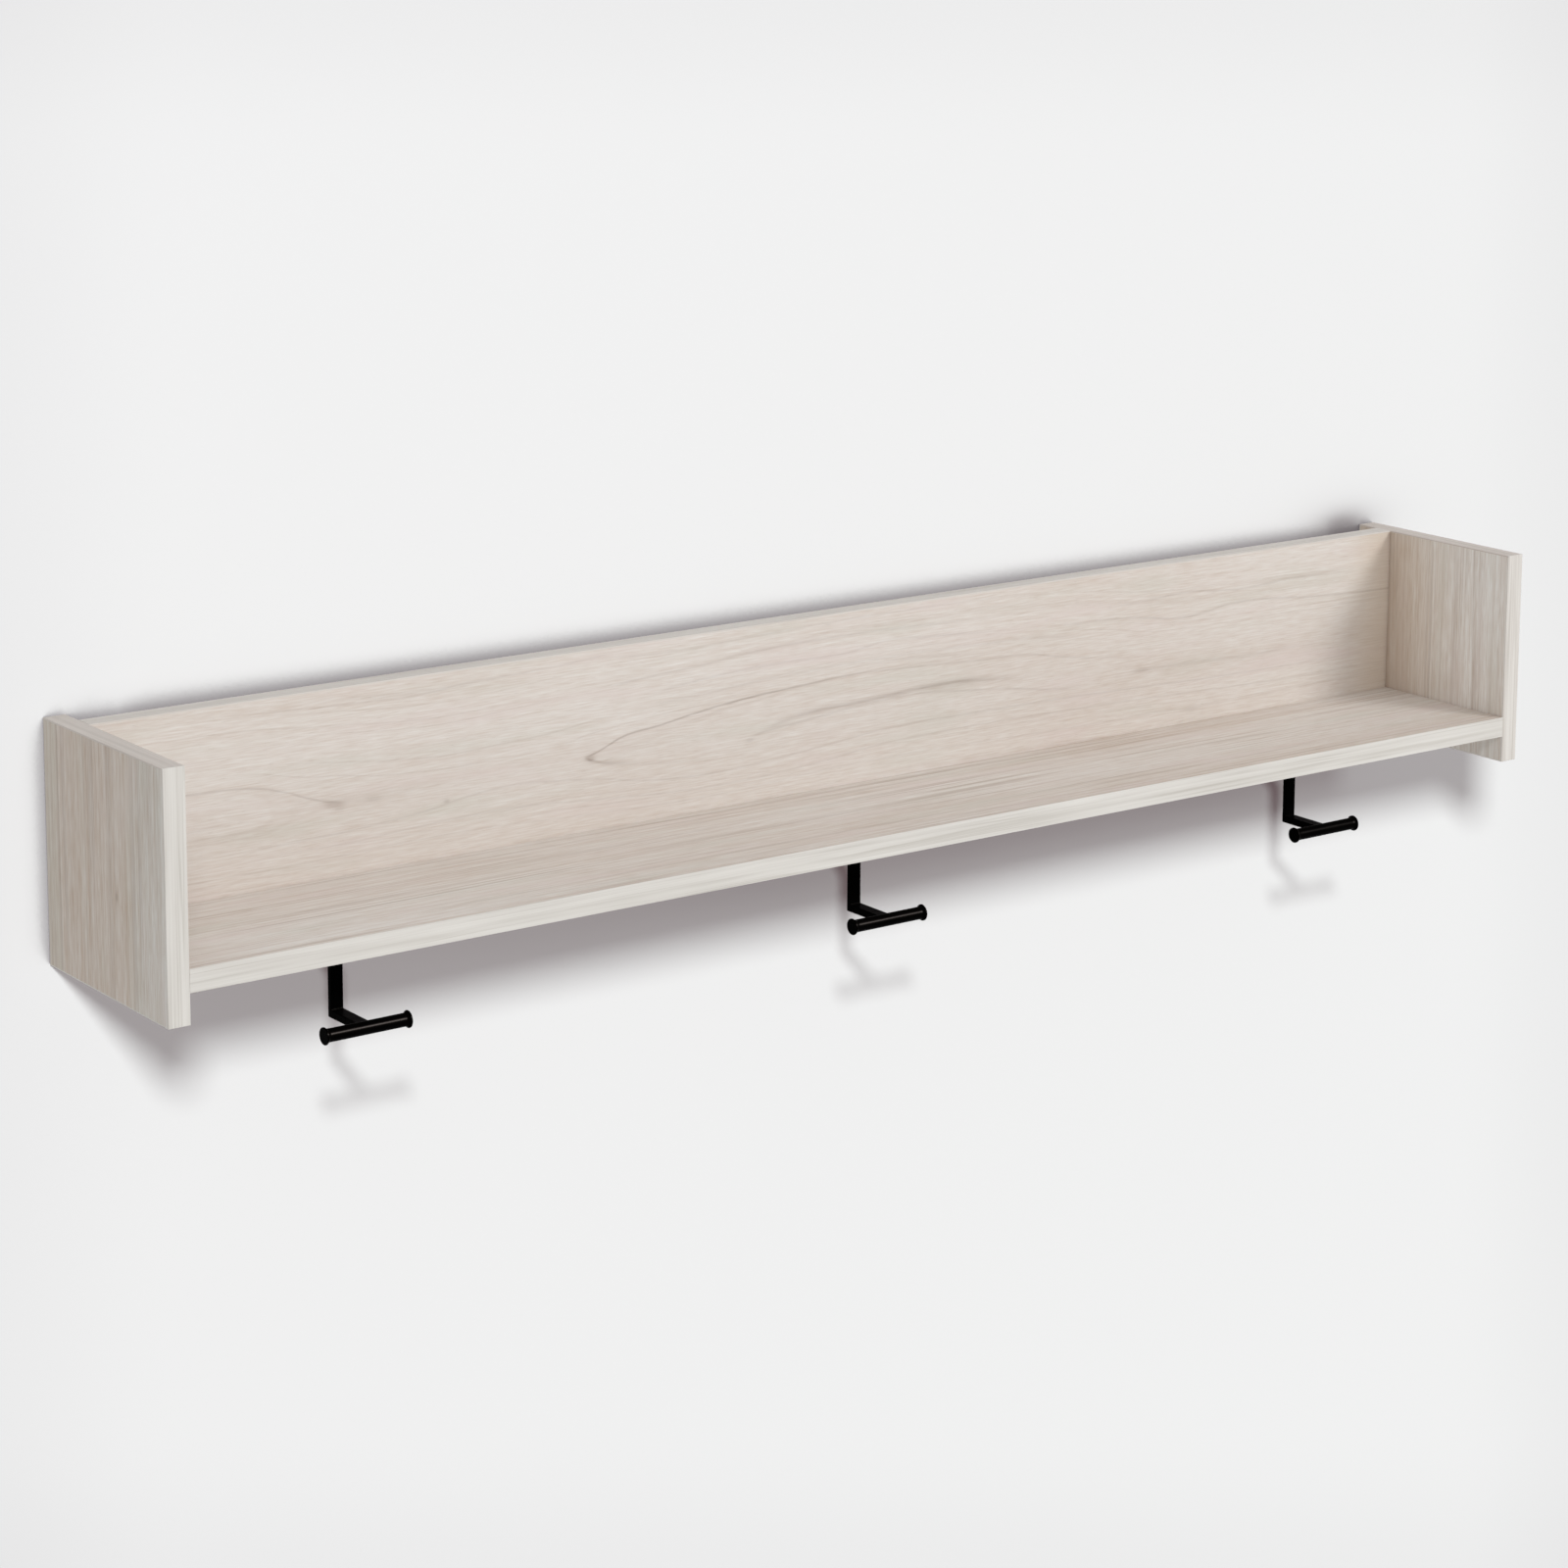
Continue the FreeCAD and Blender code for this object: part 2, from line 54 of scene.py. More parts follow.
class Signal:
    """A value inside a finish. Arithmetic on it adds Math nodes to that finish."""

    def __init__(self, finish, socket):
        self.finish = finish
        self.socket = socket

    def __add__(self, other):
        return self.finish.math("ADD", self, other)

    def __sub__(self, other):
        return self.finish.math("SUBTRACT", self, other)

    def __rsub__(self, other):
        return self.finish.math("SUBTRACT", other, self)

    def __mul__(self, other):
        return self.finish.math("MULTIPLY", self, other)

    def __truediv__(self, other):
        return self.finish.math("DIVIDE", self, other)

    def __rtruediv__(self, other):
        return self.finish.math("DIVIDE", other, self)

    def __pow__(self, other):
        return self.finish.math("POWER", self, other)

    def __neg__(self):
        return self.finish.math("MULTIPLY", self, -1.0)

    def __abs__(self):
        return self.finish.math("ABSOLUTE", self)

    def __gt__(self, other):
        return self.finish.math("GREATER_THAN", self, other)

    def __lt__(self, other):
        return self.finish.math("LESS_THAN", self, other)

    __radd__ = __add__
    __rmul__ = __mul__


def shade(red, green, blue):
    """A colour written as a screen shows it, 0 to 255, as the linear colour that a shader takes."""
    screen = np.array([red, green, blue]) / 255
    linear = np.where(screen <= 0.04045, screen / 12.92, ((screen + 0.055) / 1.055) ** 2.4)
    return (*linear.tolist(), 1.0)


class Finish:
    """A procedural surface finish. x, y and z are the rack's own millimetres."""

    def __init__(self, name, **fixed):
        self.material = bpy.data.materials.new(name)
        self.material.use_nodes = True
        self.tree = self.material.node_tree
        self.tree.nodes.clear()
        self.shader = self.tree.nodes.new("ShaderNodeBsdfPrincipled")
        self.surface = self.tree.nodes.new("ShaderNodeOutputMaterial").inputs["Surface"]
        self.tree.links.new(self.shader.outputs["BSDF"], self.surface)
        for name, value in fixed.items():
            self.shader.inputs[name.replace("_", " ")].default_value = value
        place = self.node("ShaderNodeTexCoord", output="Object")
        self.x, self.y, self.z = (
            self.node("ShaderNodeSeparateXYZ", inputs={0: place}, output=axis) * 1000.0 for axis in "XYZ"
        )

    def node(self, kind, settings=None, inputs=None, output=0):
        """Adds a node: first its settings, then its sockets' values or links. Returns one of its outputs."""
        node = self.tree.nodes.new(kind)
        for name, value in (settings or {}).items():
            if name == "curve":
                curve = node.mapping.curves[0]
                while len(curve.points) < len(value):
                    curve.points.new(0.5, 0.5)
                for point, place in zip(curve.points, value):
                    point.location = place
                node.mapping.update()
            else:
                setattr(node, name, value)
        for name, value in (inputs or {}).items():
            if isinstance(value, Signal):
                self.tree.links.new(value.socket, node.inputs[name])
            else:
                node.inputs[name].default_value = value
        return Signal(self, node.outputs[output])

    def math(self, operation, *values):
        return self.node("ShaderNodeMath", {"operation": operation}, dict(enumerate(values)))

    def smooth(self, value, low, high):
        """0 below low and 1 above high, with a soft step between them."""
        return self.node(
            "ShaderNodeMapRange", {"interpolation_type": "SMOOTHSTEP"},
            {"Value": value, "From Min": low, "From Max": high},
        )

    def noise(self, a, b=0.0, c=0.0, detail=1.0, roughness=0.5):
        """Cloudy noise about 0, from -0.5 to 0.5, over three running values."""
        point = self.node("ShaderNodeCombineXYZ", inputs={0: a, 1: b, 2: c})
        sockets = {"Vector": point, "Scale": 1.0, "Detail": detail, "Roughness": roughness}
        return self.node("ShaderNodeTexNoise", inputs=sockets) - 0.5

    def speckle(self, size, detail=2.0):
        """Cloudy noise of one size in every direction."""
        return self.noise(self.x / size, self.y / size, self.z / size, detail=detail)

    def mix(self, share, first, second, **settings):
        """The colour that lies that share of the way from the first to the second."""
        settings = {"data_type": "RGBA", "clamp_factor": True, **settings}
        return self.node("ShaderNodeMix", settings, {0: share, 6: first, 7: second}, output=2)

    def run(self, along, points, low, high):
        """A smooth curve through (along, value) points, for values from low to high."""
        first, last = points[0][0], points[-1][0]
        curve = [((place - first) / (last - first), (value - low) / (high - low)) for place, value in points]
        place = (along - first) / (last - first)
        share = self.node("ShaderNodeFloatCurve", {"curve": curve}, {"Value": place})
        return share * (high - low) + low

    def show(self, colour, roughness, height=None, depth=0.0):
        """Feeds the shader's colour and roughness, and its bump from a height of 0 to 1 times depth."""
        for name, value in (("Base Color", colour), ("Roughness", roughness)):
            self.tree.links.new(value.socket, self.shader.inputs[name])
        if height is not None:
            bump = self.node("ShaderNodeBump", inputs={"Distance": depth, "Height": height})
            self.tree.links.new(bump.socket, self.shader.inputs["Normal"])

    def cover(self, *names):
        """Gives this finish to CAD nodes that are shown as they are."""
        for name in names:
            for slot in nodes[name].material_slots:
                slot.material = self.material


WOOD_PALE = shade(229, 223, 217)
WOOD_WARM = shade(211, 198, 187)
WOOD_LINE = shade(174, 156, 142)
WOOD_DARK_AND_SHADE = shade(132, 108, 92)
WOOD_COOL = shade(207, 206, 194)
WOOD_ROSE = shade(222, 208, 203)
WOOD_TAN_AND_SHADE = shade(212, 194, 172)


def joint_line_and_painted_shade(distance, line, wide):
    """How far a corner darkens: a thin line, a dark joint with painted shade, in a wide bell of painted
    shade.
    """
    near, far = distance / 1.4, distance / 17.0
    return line / (1.0 + near * near) + wide / (1.0 + far * far)


def print_wood(
    finish, along, across, sheet, rings=None, warmth_and_shade=0.0, cool=0.0, tan_and_shade=0.0, broad=1.0, strength=1.0,
    fine=1.0, line_share=0.34, marks_and_shade=None,
):
    """The printed elm: tone and lines follow the rings, fibres and pores run along the grain. Cool shifts
    its colour; warmth_and_shade and tan_and_shade shift it too and can carry painted light and shade;
    marks_and_shade darkens it with print marks and painted shade; broad, strength and fine scale its wide,
    middle and fine figure."""
    wander = 9.0 * finish.noise(along / 420.0, across / 70.0, sheet)
    wander = wander + 2.4 * finish.noise(along / 120.0, across / 17.0, sheet + 3.7)
    wander = wander + 0.5 * finish.noise(along / 34.0, across / 5.0, sheet + 8.1)
    rings = (across if rings is None else rings) + wander
    zones = finish.noise(along / 380.0, across / 52.0, sheet + 12.3, detail=2.0)
    bands = finish.noise(rings / 6.5, sheet + 21.0, detail=2.5, roughness=0.6)
    stripes = finish.noise(rings / 1.5, sheet + 25.0, along / 900.0, detail=2.0)
    fibres = finish.noise(along / 42.0, across / 0.55, sheet + 31.0, detail=2.0)
    streaks = finish.noise(along / 17.0, across / 1.2, sheet + 35.0, detail=1.5)
    strands = finish.noise(along / 60.0, across / 2.8, sheet + 29.0, detail=1.0)
    crossing = abs(finish.noise(rings / 9.0, sheet + 41.0, along / 2500.0, detail=1.5))
    lines = 1.0 - finish.smooth(crossing, 0.0, 0.03)
    lines = lines * finish.smooth(finish.noise(along / 170.0, across / 20.0, sheet + 47.0), -0.16, 0.2)
    dash = finish.smooth(finish.noise(along / 11.0, across / 0.6, sheet + 53.0, detail=1.0), 0.13, 0.27)
    tone = 0.40 + warmth_and_shade + zones * 0.8 * broad + (bands * 0.62 + stripes * 0.34 + strands * 0.5) * strength
    tone = tone + (fibres * 0.5 + streaks * 1.1) * fine
    colour = finish.mix(tone, WOOD_PALE, WOOD_WARM, clamp_factor=False)
    hue = finish.noise(along / 130.0, across / 21.0, sheet + 64.0, detail=1.0)
    colour = finish.mix(cool + finish.smooth(hue, 0.02, 0.30) * 0.3, colour, WOOD_COOL)
    colour = finish.mix(finish.smooth(hue, -0.02, -0.30) * 0.5, colour, WOOD_ROSE)
    colour = finish.mix(tan_and_shade, colour, WOOD_TAN_AND_SHADE)
    colour = finish.mix(lines * line_share, colour, WOOD_LINE)
    colour = finish.mix(dash * 0.26, colour, WOOD_LINE)
    if marks_and_shade is not None:
        colour = finish.mix(marks_and_shade, colour, WOOD_DARK_AND_SHADE)
    height = 0.6 + fibres * 0.5 - dash * 0.55 - lines * 0.2
    roughness = 0.56 + fibres * 0.12 + dash * 0.08
    finish.show(colour, roughness, height, 0.00006)


panel_inner_x = 593.5
panel_middle_x = 601.5
left_outer_warmth = [
    (0, 0.02), (17, 0.04), (21, 0.20), (50, 0.30), (68, 0.18), (90, 0.30), (118, 0.18), (128, 0.0),
    (150, -0.08), (170, -0.06),
]
left_outer_cool = [(0, 0.40), (17, 0.36), (21, 0.0), (105, 0.0), (126, 0.26), (160, 0.22), (170, 0.1)]
# The right panel's inner face is painted lighter towards the front and darker towards the rear corner:
# painted light and shade.
right_inner_painted_light_and_shade = [
    (0, 0.3), (36, 0.32), (48, 0.12), (70, -0.20), (95, -0.74), (115, -1.10), (140, -1.24), (154, -1.14),
    (162, -0.72), (170, -0.62),
]
shelf_top_z = -59.0
back_front_y = -36.0
for side, sheet in (("left", 2.0), ("right", 61.0)):
    wood = Finish(f"{side} side panel wood print", Specular_IOR_Level=0.32)
    outer = abs(wood.x) > panel_middle_x
    depth = -wood.y
    if side == "left":
        seam = 19.5 + 1.6 * wood.noise(wood.z / 38.0, 3.0)
        seam_line = 1.0 / (1.0 + ((depth - seam) / 0.7) ** 2.0)
        heart = 93.5 + 5.0 * wood.noise(wood.z / 60.0, 8.0)
        heart_streak = 1.0 / (1.0 + ((depth - heart) / 3.2) ** 4.0)
        knot = ((depth - 102.0) / 1.3) ** 2.0 + ((wood.z + 25.0) / 3.0) ** 2.0
        marks_and_shade = outer * (0.30 * seam_line + 0.10 * heart_streak + 0.34 / (1.0 + knot * knot))
        warmth_and_shade = outer * wood.run(depth, left_outer_warmth, -0.2, 0.4) + 0.08
        cool = outer * wood.run(depth, left_outer_cool, 0.0, 0.8)
        tan_and_shade = outer * 0.24 * (1.0 - 0.8 * wood.smooth(depth, 116.0, 134.0))
    else:
        marks_and_shade = 0.0
        warmth_and_shade = (1.0 - outer) * wood.run(depth, right_inner_painted_light_and_shade, -1.6, 0.6) + 0.06
        cool = 0.0
        # Towards the rear corner the inner face is also painted warmer: painted shade.
        tan_and_shade = (1.0 - outer) * (0.46 - 0.26 * wood.smooth(depth, 50.0, 135.0))
    # Painted shade in the inner face's corners against the back panel and the shelf, each along a thin dark
    # joint line.
    joint_lines_and_shade = joint_line_and_painted_shade(abs(wood.y - back_front_y), 0.30, 0.15) + joint_line_and_painted_shade(abs(wood.z - shelf_top_z), 0.16, 0.09)
    marks_and_shade = marks_and_shade + (1.0 - outer) * joint_lines_and_shade
    print_wood(
        wood, wood.z, wood.y, outer * 17.0 + sheet, warmth_and_shade=warmth_and_shade, cool=cool, tan_and_shade=tan_and_shade, broad=1.7,
        strength=4.0, fine=2.5, line_share=0.4, marks_and_shade=marks_and_shade,
    )
    wood.cover(f"{side}_side_panel")

# Side panel edge bands: 1 mm strips of the same print, a little greyer, glued round each side panel's four
# edges with the print along the strip and scraped to a small radius. Front and rear strips run full height.

strip_middle_y = -85.0
upright_strip_reach = 84.0
BAND_PALE = shade(231, 228, 222)
BAND_GREY = shade(208, 203, 196)
BAND_LINE = shade(180, 174, 164)
BAND_WARM_AND_SHADE = shade(204, 191, 183)


def print_band(finish, along, across, sheet, warmth_and_shade=0.0, vein=None, strength=1.0):
    """The band's print: close straight streaks along the strip, a few of them darker, with fine pores, and
    where vein is given, a soft darker vein at that place across it. Its warmth_and_shade shifts it warmer
    and darker; on the side panels' top strips that is painted shade."""
    sway = across + 0.9 * finish.noise(along / 90.0, across / 9.0, sheet)
    streaks = finish.noise(sway / 1.6, sheet + 3.0, along / 260.0, detail=2.5, roughness=0.6)
    wide = finish.noise(sway / 4.4, sheet + 5.0, along / 110.0, detail=1.0)
    zones = finish.noise(along / 120.0, across / 9.0, sheet + 7.0)
    fibres = finish.noise(along / 26.0, across / 0.4, sheet + 11.0, detail=2.0)
    crossing = abs(finish.noise(sway / 4.2, sheet + 17.0, along / 400.0, detail=1.0))
    lines = (1.0 - finish.smooth(crossing, 0.0, 0.05)) * finish.smooth(zones, -0.2, 0.2)
    colour = finish.mix(
        0.42 + (streaks * 1.1 + wide * 0.8 + zones * 0.5 + fibres * 0.45) * strength, BAND_PALE, BAND_GREY,
    )
    colour = finish.mix(lines * 0.4, colour, BAND_LINE)
    colour = finish.mix(warmth_and_shade, colour, BAND_WARM_AND_SHADE)
    if vein is not None:
        away = (sway - vein + 1.8 * finish.noise(along / 55.0, sheet + 23.0)) / 1.3
        share = 0.10 + 0.30 * finish.smooth(zones, -0.2, 0.2)
        colour = finish.mix(share / (1.0 + away * away * away * away), colour, BAND_LINE)
    finish.show(colour, 0.52 + fibres * 0.12, 0.5 + fibres * 0.6 - lines * 0.3, 0.00004)


for side, sheet in (("left", 5.0), ("right", 71.0)):
    band = Finish(f"{side} side band print", Specular_IOR_Level=0.35)
    upright = abs(band.y - strip_middle_y) > upright_strip_reach
    along = upright * band.z + (1.0 - upright) * band.y
    # The top strips are painted warmer and darker than the upright ones: painted shade.
    top_strip_shade = (1.0 - upright) * (band.z > 0.0)
    vein, duller, strength = (-602.5, 0.0, 1.0) if side == "left" else (602.0, 0.16, 2.6)
    print_band(
        band, along, band.x, upright * 4.0 + sheet, warmth_and_shade=top_strip_shade * 0.55 + duller, vein=vein + upright * 40.0,
        strength=strength,
    )
    band.cover(f"{side}_side_edge_bands")

# End dowels: fluted beech pins, 8 by 30 mm, glued into the shelf's and back panel's ends. Turned, then
# rolled so that the flutes let the glue escape.

dowel_panel_depth = 10.0
dowel_board_depth = 20.0
dowel_radius = 4.0
dowel_chamfer = 0.8
dowel_flutes = 24
dowel_flute_depth = 0.28
crease = math.radians(35.0)


def skin(rings, start, end):
    """A closed skin. Quads join each ring of points to the next, and a fan closes each end on its point."""
    ring_count, point_count, _ = rings.shape
    points = np.concatenate([rings.reshape(-1, 3), [start, end]])
    base = np.arange(ring_count - 1)[:, None] * point_count
    here = np.arange(point_count)[None, :]
    after = (here + 1) % point_count
    quads = np.stack([base + here, base + after, base + point_count + after, base + point_count + here], -1)
    first = here[0]
    last = first + (ring_count - 1) * point_count
    start_index = np.full(point_count, ring_count * point_count)
    start_fan = np.stack([start_index, after[0], first], -1)
    end_fan = np.stack([start_index + 1, last, after[0] + last[0]], -1)
    return points, quads.reshape(-1, 4).tolist() + start_fan.tolist() + end_fan.tolist()


def around(distance, spread, angle):
    """Rings of points round local X, one at each distance: x is the distance, y and z are the spread times
    (cos a, sin a)."""
    distance = np.repeat(distance[:, None], len(angle), axis=1)
    return np.stack([distance, spread * np.cos(angle), spread * np.sin(angle)], -1)


def turned(profile, columns=48, radial=None):
    """A skin turned round local X from (distance, radius) steps. Radial, where given, adds to the radius at
    each (distance, angle)."""
    distance, radius = np.array(profile, float).T
    angle = np.arange(columns) * (2 * math.pi / columns)
    spread = np.repeat(radius[:, None], columns, axis=1)
    if radial is not None:
        spread = spread + radial(distance[:, None], angle[None, :])
    return skin(around(distance, spread, angle), (distance[0], 0, 0), (distance[-1], 0, 0))


def placed(shell, origin, along, upward):
    """A skin with its local X laid along one direction and its local Z along another."""
    points, faces = shell
    along, upward = np.array(along, float), np.array(upward, float)
    axes = np.stack([along, np.cross(upward, along), upward])
    return points @ axes + np.array(origin, float), faces


def piece(name, shells, finish, slot, *stands_for):
    """One object from closed skins in millimetres, in place of CAD nodes, on the rack's only body."""
    offset, points, faces = 0, [], []
    for shell_points, shell_faces in shells:
        points.append(shell_points)
        faces += [[index + offset for index in face] for face in shell_faces]
        offset += len(shell_points)
    mesh = bpy.data.meshes.new(name)
    mesh.from_pydata((np.concatenate(points) / 1000.0).tolist(), [], faces)
    mesh.shade_smooth()
    mesh.set_sharp_from_angle(angle=crease)
    mesh.materials.append(finish.material)
    made = bpy.data.objects.new(name, mesh)
    bpy.context.scene.collection.objects.link(made)
    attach(made, "root")
    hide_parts(*stands_for)
    return made


def dowel():
    """A round pin whose radius dips by the flute depth as a cosine of the angle, away from its chamfers."""
    low, high = -dowel_panel_depth, dowel_board_depth
    plain = 2 * dowel_chamfer
    tip_radius = dowel_radius - dowel_chamfer
    profile = [
        (low, tip_radius), (low + dowel_chamfer, dowel_radius), (low + plain, dowel_radius),
        (high - plain, dowel_radius), (high - dowel_chamfer, dowel_radius), (high, tip_radius),
    ]

    def flutes(distance, angle):
        fluted = (distance > low + dowel_chamfer) & (distance < high - dowel_chamfer)
        return -dowel_flute_depth * fluted * (0.5 - 0.5 * np.cos(dowel_flutes * angle))

    return turned(profile, 4 * dowel_flutes, flutes)


beech = Finish("beech", Specular_IOR_Level=0.3)
flecks = beech.smooth(beech.noise(beech.x / 0.5, beech.y / 2.6, beech.z / 0.5, detail=2.0), 0.08, 0.2)
figure = beech.noise(beech.x / 12.0, beech.y / 3.0, beech.z / 3.0, detail=3.0)
beech_colour = beech.mix(0.5 + figure * 1.4, shade(222, 190, 152), shade(198, 160, 120))
beech_colour = beech.mix(flecks * 0.35, beech_colour, shade(160, 116, 80))
beech.show(beech_colour, 0.66 + figure * 0.1, 0.5 - flecks * 0.4 + figure * 0.3, 0.00005)

TO_RIGHT, TO_WALL, TO_ROOM = (1, 0, 0), (0, 1, 0), (0, -1, 0)
UP, DOWN = (0, 0, 1), (0, 0, -1)
shelf_middle_z = -67.0
back_middle_y = -28.0
shelf_front_fitting_y, shelf_rear_fitting_y = -138.0, -68.0
back_low_fitting_z, back_high_fitting_z = -38.0, 37.0
shelf_bolt_places = [(shelf_front_fitting_y, shelf_middle_z), (shelf_rear_fitting_y, shelf_middle_z)]
back_bolt_places = [(back_middle_y, back_low_fitting_z), (back_middle_y, back_high_fitting_z)]
end_dowel_places = [
    ((shelf_front_fitting_y + shelf_rear_fitting_y) / 2, shelf_middle_z, DOWN),
    (back_middle_y, (back_low_fitting_z + back_high_fitting_z) / 2, TO_WALL),
]
end_bolt_places = [(y, z, DOWN) for y, z in shelf_bolt_places]
end_bolt_places += [(y, z, TO_WALL) for y, z in back_bolt_places]


def at_end(side, shell, places):
    """Copies of a skin that lie along X, from one side panel's inner face into the boards."""
    sign = 1 if side == "right" else -1
    return [placed(shell, (sign * panel_inner_x, y, z), (-sign, 0, 0), mouth) for y, z, mouth in places]


for side in ("left", "right"):
    piece(
        f"{side}_end_dowels_fluted", at_end(side, dowel(), end_dowel_places), beech, "beech",
        f"{side}_end_dowels",
    )

# Connecting bolts: zinc-plated steel bolts that screw into the side panels. The coarse thread bites the
# particle board up to the collar, and the narrow neck and head reach into the cam lock.


def thread(low, high, root, crest, pitch):
    """The profile steps and the radius function of a screw thread: along a helix the radius swings between
    root and crest as a triangle wave of (distance / pitch - angle / turn), fading out at both ends."""
    steps = [(distance, root) for distance in np.arange(low, high, pitch / 8)]

    def ridge(distance, angle):
        phase = (distance / pitch - angle / (2 * math.pi)) % 1.0
        wave = np.clip(1.6 * (1 - 2 * abs(phase - 0.5)) - 0.4, 0, 1)
        fade = np.clip((distance - low) / pitch, 0, 1) * np.clip((high - distance) / pitch, 0, 1)
        return (crest - root) * wave * fade

    return steps, ridge


def connecting_bolt():
    """Threaded end, collar, shank, neck and head, turned in one profile."""
    steps, ridge = thread(-10.4, -0.3, 1.75, 2.5, 2.1)
    profile = [(-11.0, 0.9), (-10.4, 1.7)] + steps + [
        (0.0, 1.75), (0.0, 3.2), (0.25, 3.5), (1.25, 3.5), (1.5, 3.2), (1.5, 2.5), (16.2, 2.5), (16.5, 2.2),
        (16.5, 1.6), (22.5, 1.6), (22.5, 2.6), (22.9, 3.0), (24.9, 3.0), (25.5, 2.5),
    ]
    return turned(profile, 32, ridge)


plated = Finish("zinc-plated steel", Metallic=1.0, Specular_IOR_Level=0.5)
bloom = plated.speckle(3.0, 3.0)
grime = plated.speckle(0.6)
plated.show(
    plated.mix(0.5 + bloom * 1.3, shade(214, 216, 220), shade(186, 188, 186)),
    0.30 + bloom * 0.16, 0.5 + grime * 0.5, 0.00001,
)
for side in ("left", "right"):
    piece(
        f"{side}_connecting_bolts_threaded", at_end(side, connecting_bolt(), end_bolt_places), plated,
        "plated_steel", f"{side}_connecting_bolts",
    )

# Cam locks: die-cast zinc drums in the boards. A half turn with a cross-head driver pulls the bolt's head
# in. They stay as the CAD has them, with cavity, slot and cross, and get the grey of a raw casting.

cast = Finish("die-cast zinc", Metallic=0.9, Specular_IOR_Level=0.5)
skin_grain = cast.speckle(0.35, 3.0)
cloud = cast.speckle(4.0)
cast.show(
    cast.mix(0.5 + cloud * 1.5, shade(176, 178, 181), shade(150, 151, 153)),
    0.46 + cloud * 0.2, 0.5 + skin_grain * 0.8, 0.00003,
)
cast.cover("left_cam_locks", "right_cam_locks")

# Cam cover caps: moulded beige caps pressed into the cam locks that open under the shelf. Each is a thin
# disc with a softened rim, and a peg in the lock's cross.

cam_setback = 24.0
shelf_low_z = -75.0
cap_profile = [
    (-0.80, 6.6), (-0.79, 7.4), (-0.72, 7.9), (-0.58, 8.25), (-0.38, 8.44), (-0.15, 8.5), (0.0, 8.5),
    (0.0, 0.75), (0.15, 0.7), (1.6, 0.7), (1.8, 0.5),
]
cap_shells = [
    placed(turned(cap_profile, 64), (sign * (panel_inner_x - cam_setback), y, shelf_low_z), UP, TO_RIGHT)
    for sign in (-1, 1) for y, z in shelf_bolt_places
]
moulded = Finish("moulded cap plastic", Specular_IOR_Level=0.45)
spark = moulded.speckle(0.25)
flow = moulded.speckle(5.0, 1.0)
moulded.show(
    moulded.mix(0.5 + flow, shade(218, 208, 196), shade(208, 197, 184)),
    0.42 + flow * 0.1, 0.5 + spark, 0.00002,
)
piece("cam_cover_caps_moulded", cap_shells, moulded, "cap_plastic", "cam_cover_caps")

# Back panel: one long board of the same faced particle board, grain lengthwise. Its print has a long
# pointed figure left of the middle that closes again on the right, and a knot near the left end.

left_end_x = -609.5
base_z = -96.0
back = Finish("back panel wood print", Specular_IOR_Level=0.32)
along = back.x - left_end_x
across = back.z - base_z
spine = back.run(along, [
    (0, 93), (110, 92), (199, 88), (270, 85), (345, 88), (408, 91), (500, 92), (560, 94), (640, 98),
    (740, 98), (830, 96), (900, 91), (935, 88), (1000, 85), (1219, 84),
], 70.0, 110.0)
opening = back.run(along, [
    (0, 480), (86, 380), (130, 310), (158, 140), (178, 35), (199, 0), (240, -80), (330, -190),
    (380, -120), (404, -15), (414, 30), (441, 125), (500, 330), (560, 510), (640, 585), (740, 490),
    (830, 320), (895, 150), (926, 15), (945, -60), (1040, -60), (1219, -40),
], -300.0, 700.0)
offset = across - spine
figure_level = 930.0
figure_reach = back.math("SQRT", back.math("MAXIMUM", offset * offset - opening + figure_level, 1.0))
ragged = back.noise(along / 24.0, across / 3.0, 91.0, detail=2.0)


def drawn(points, width, strength, fades):
    """A dark line along a curve: 1 on it, falling off as a bell over its width, within fade places."""
    away = (across - back.run(along, points, 30.0, 180.0) + 1.1 * ragged) / width
    bell = 1.0 / (1.0 + away * away * away * away + away * away)
    start, full, easing, gone = fades
    return bell * strength * back.smooth(along, start, full) * (1.0 - back.smooth(along, easing, gone))


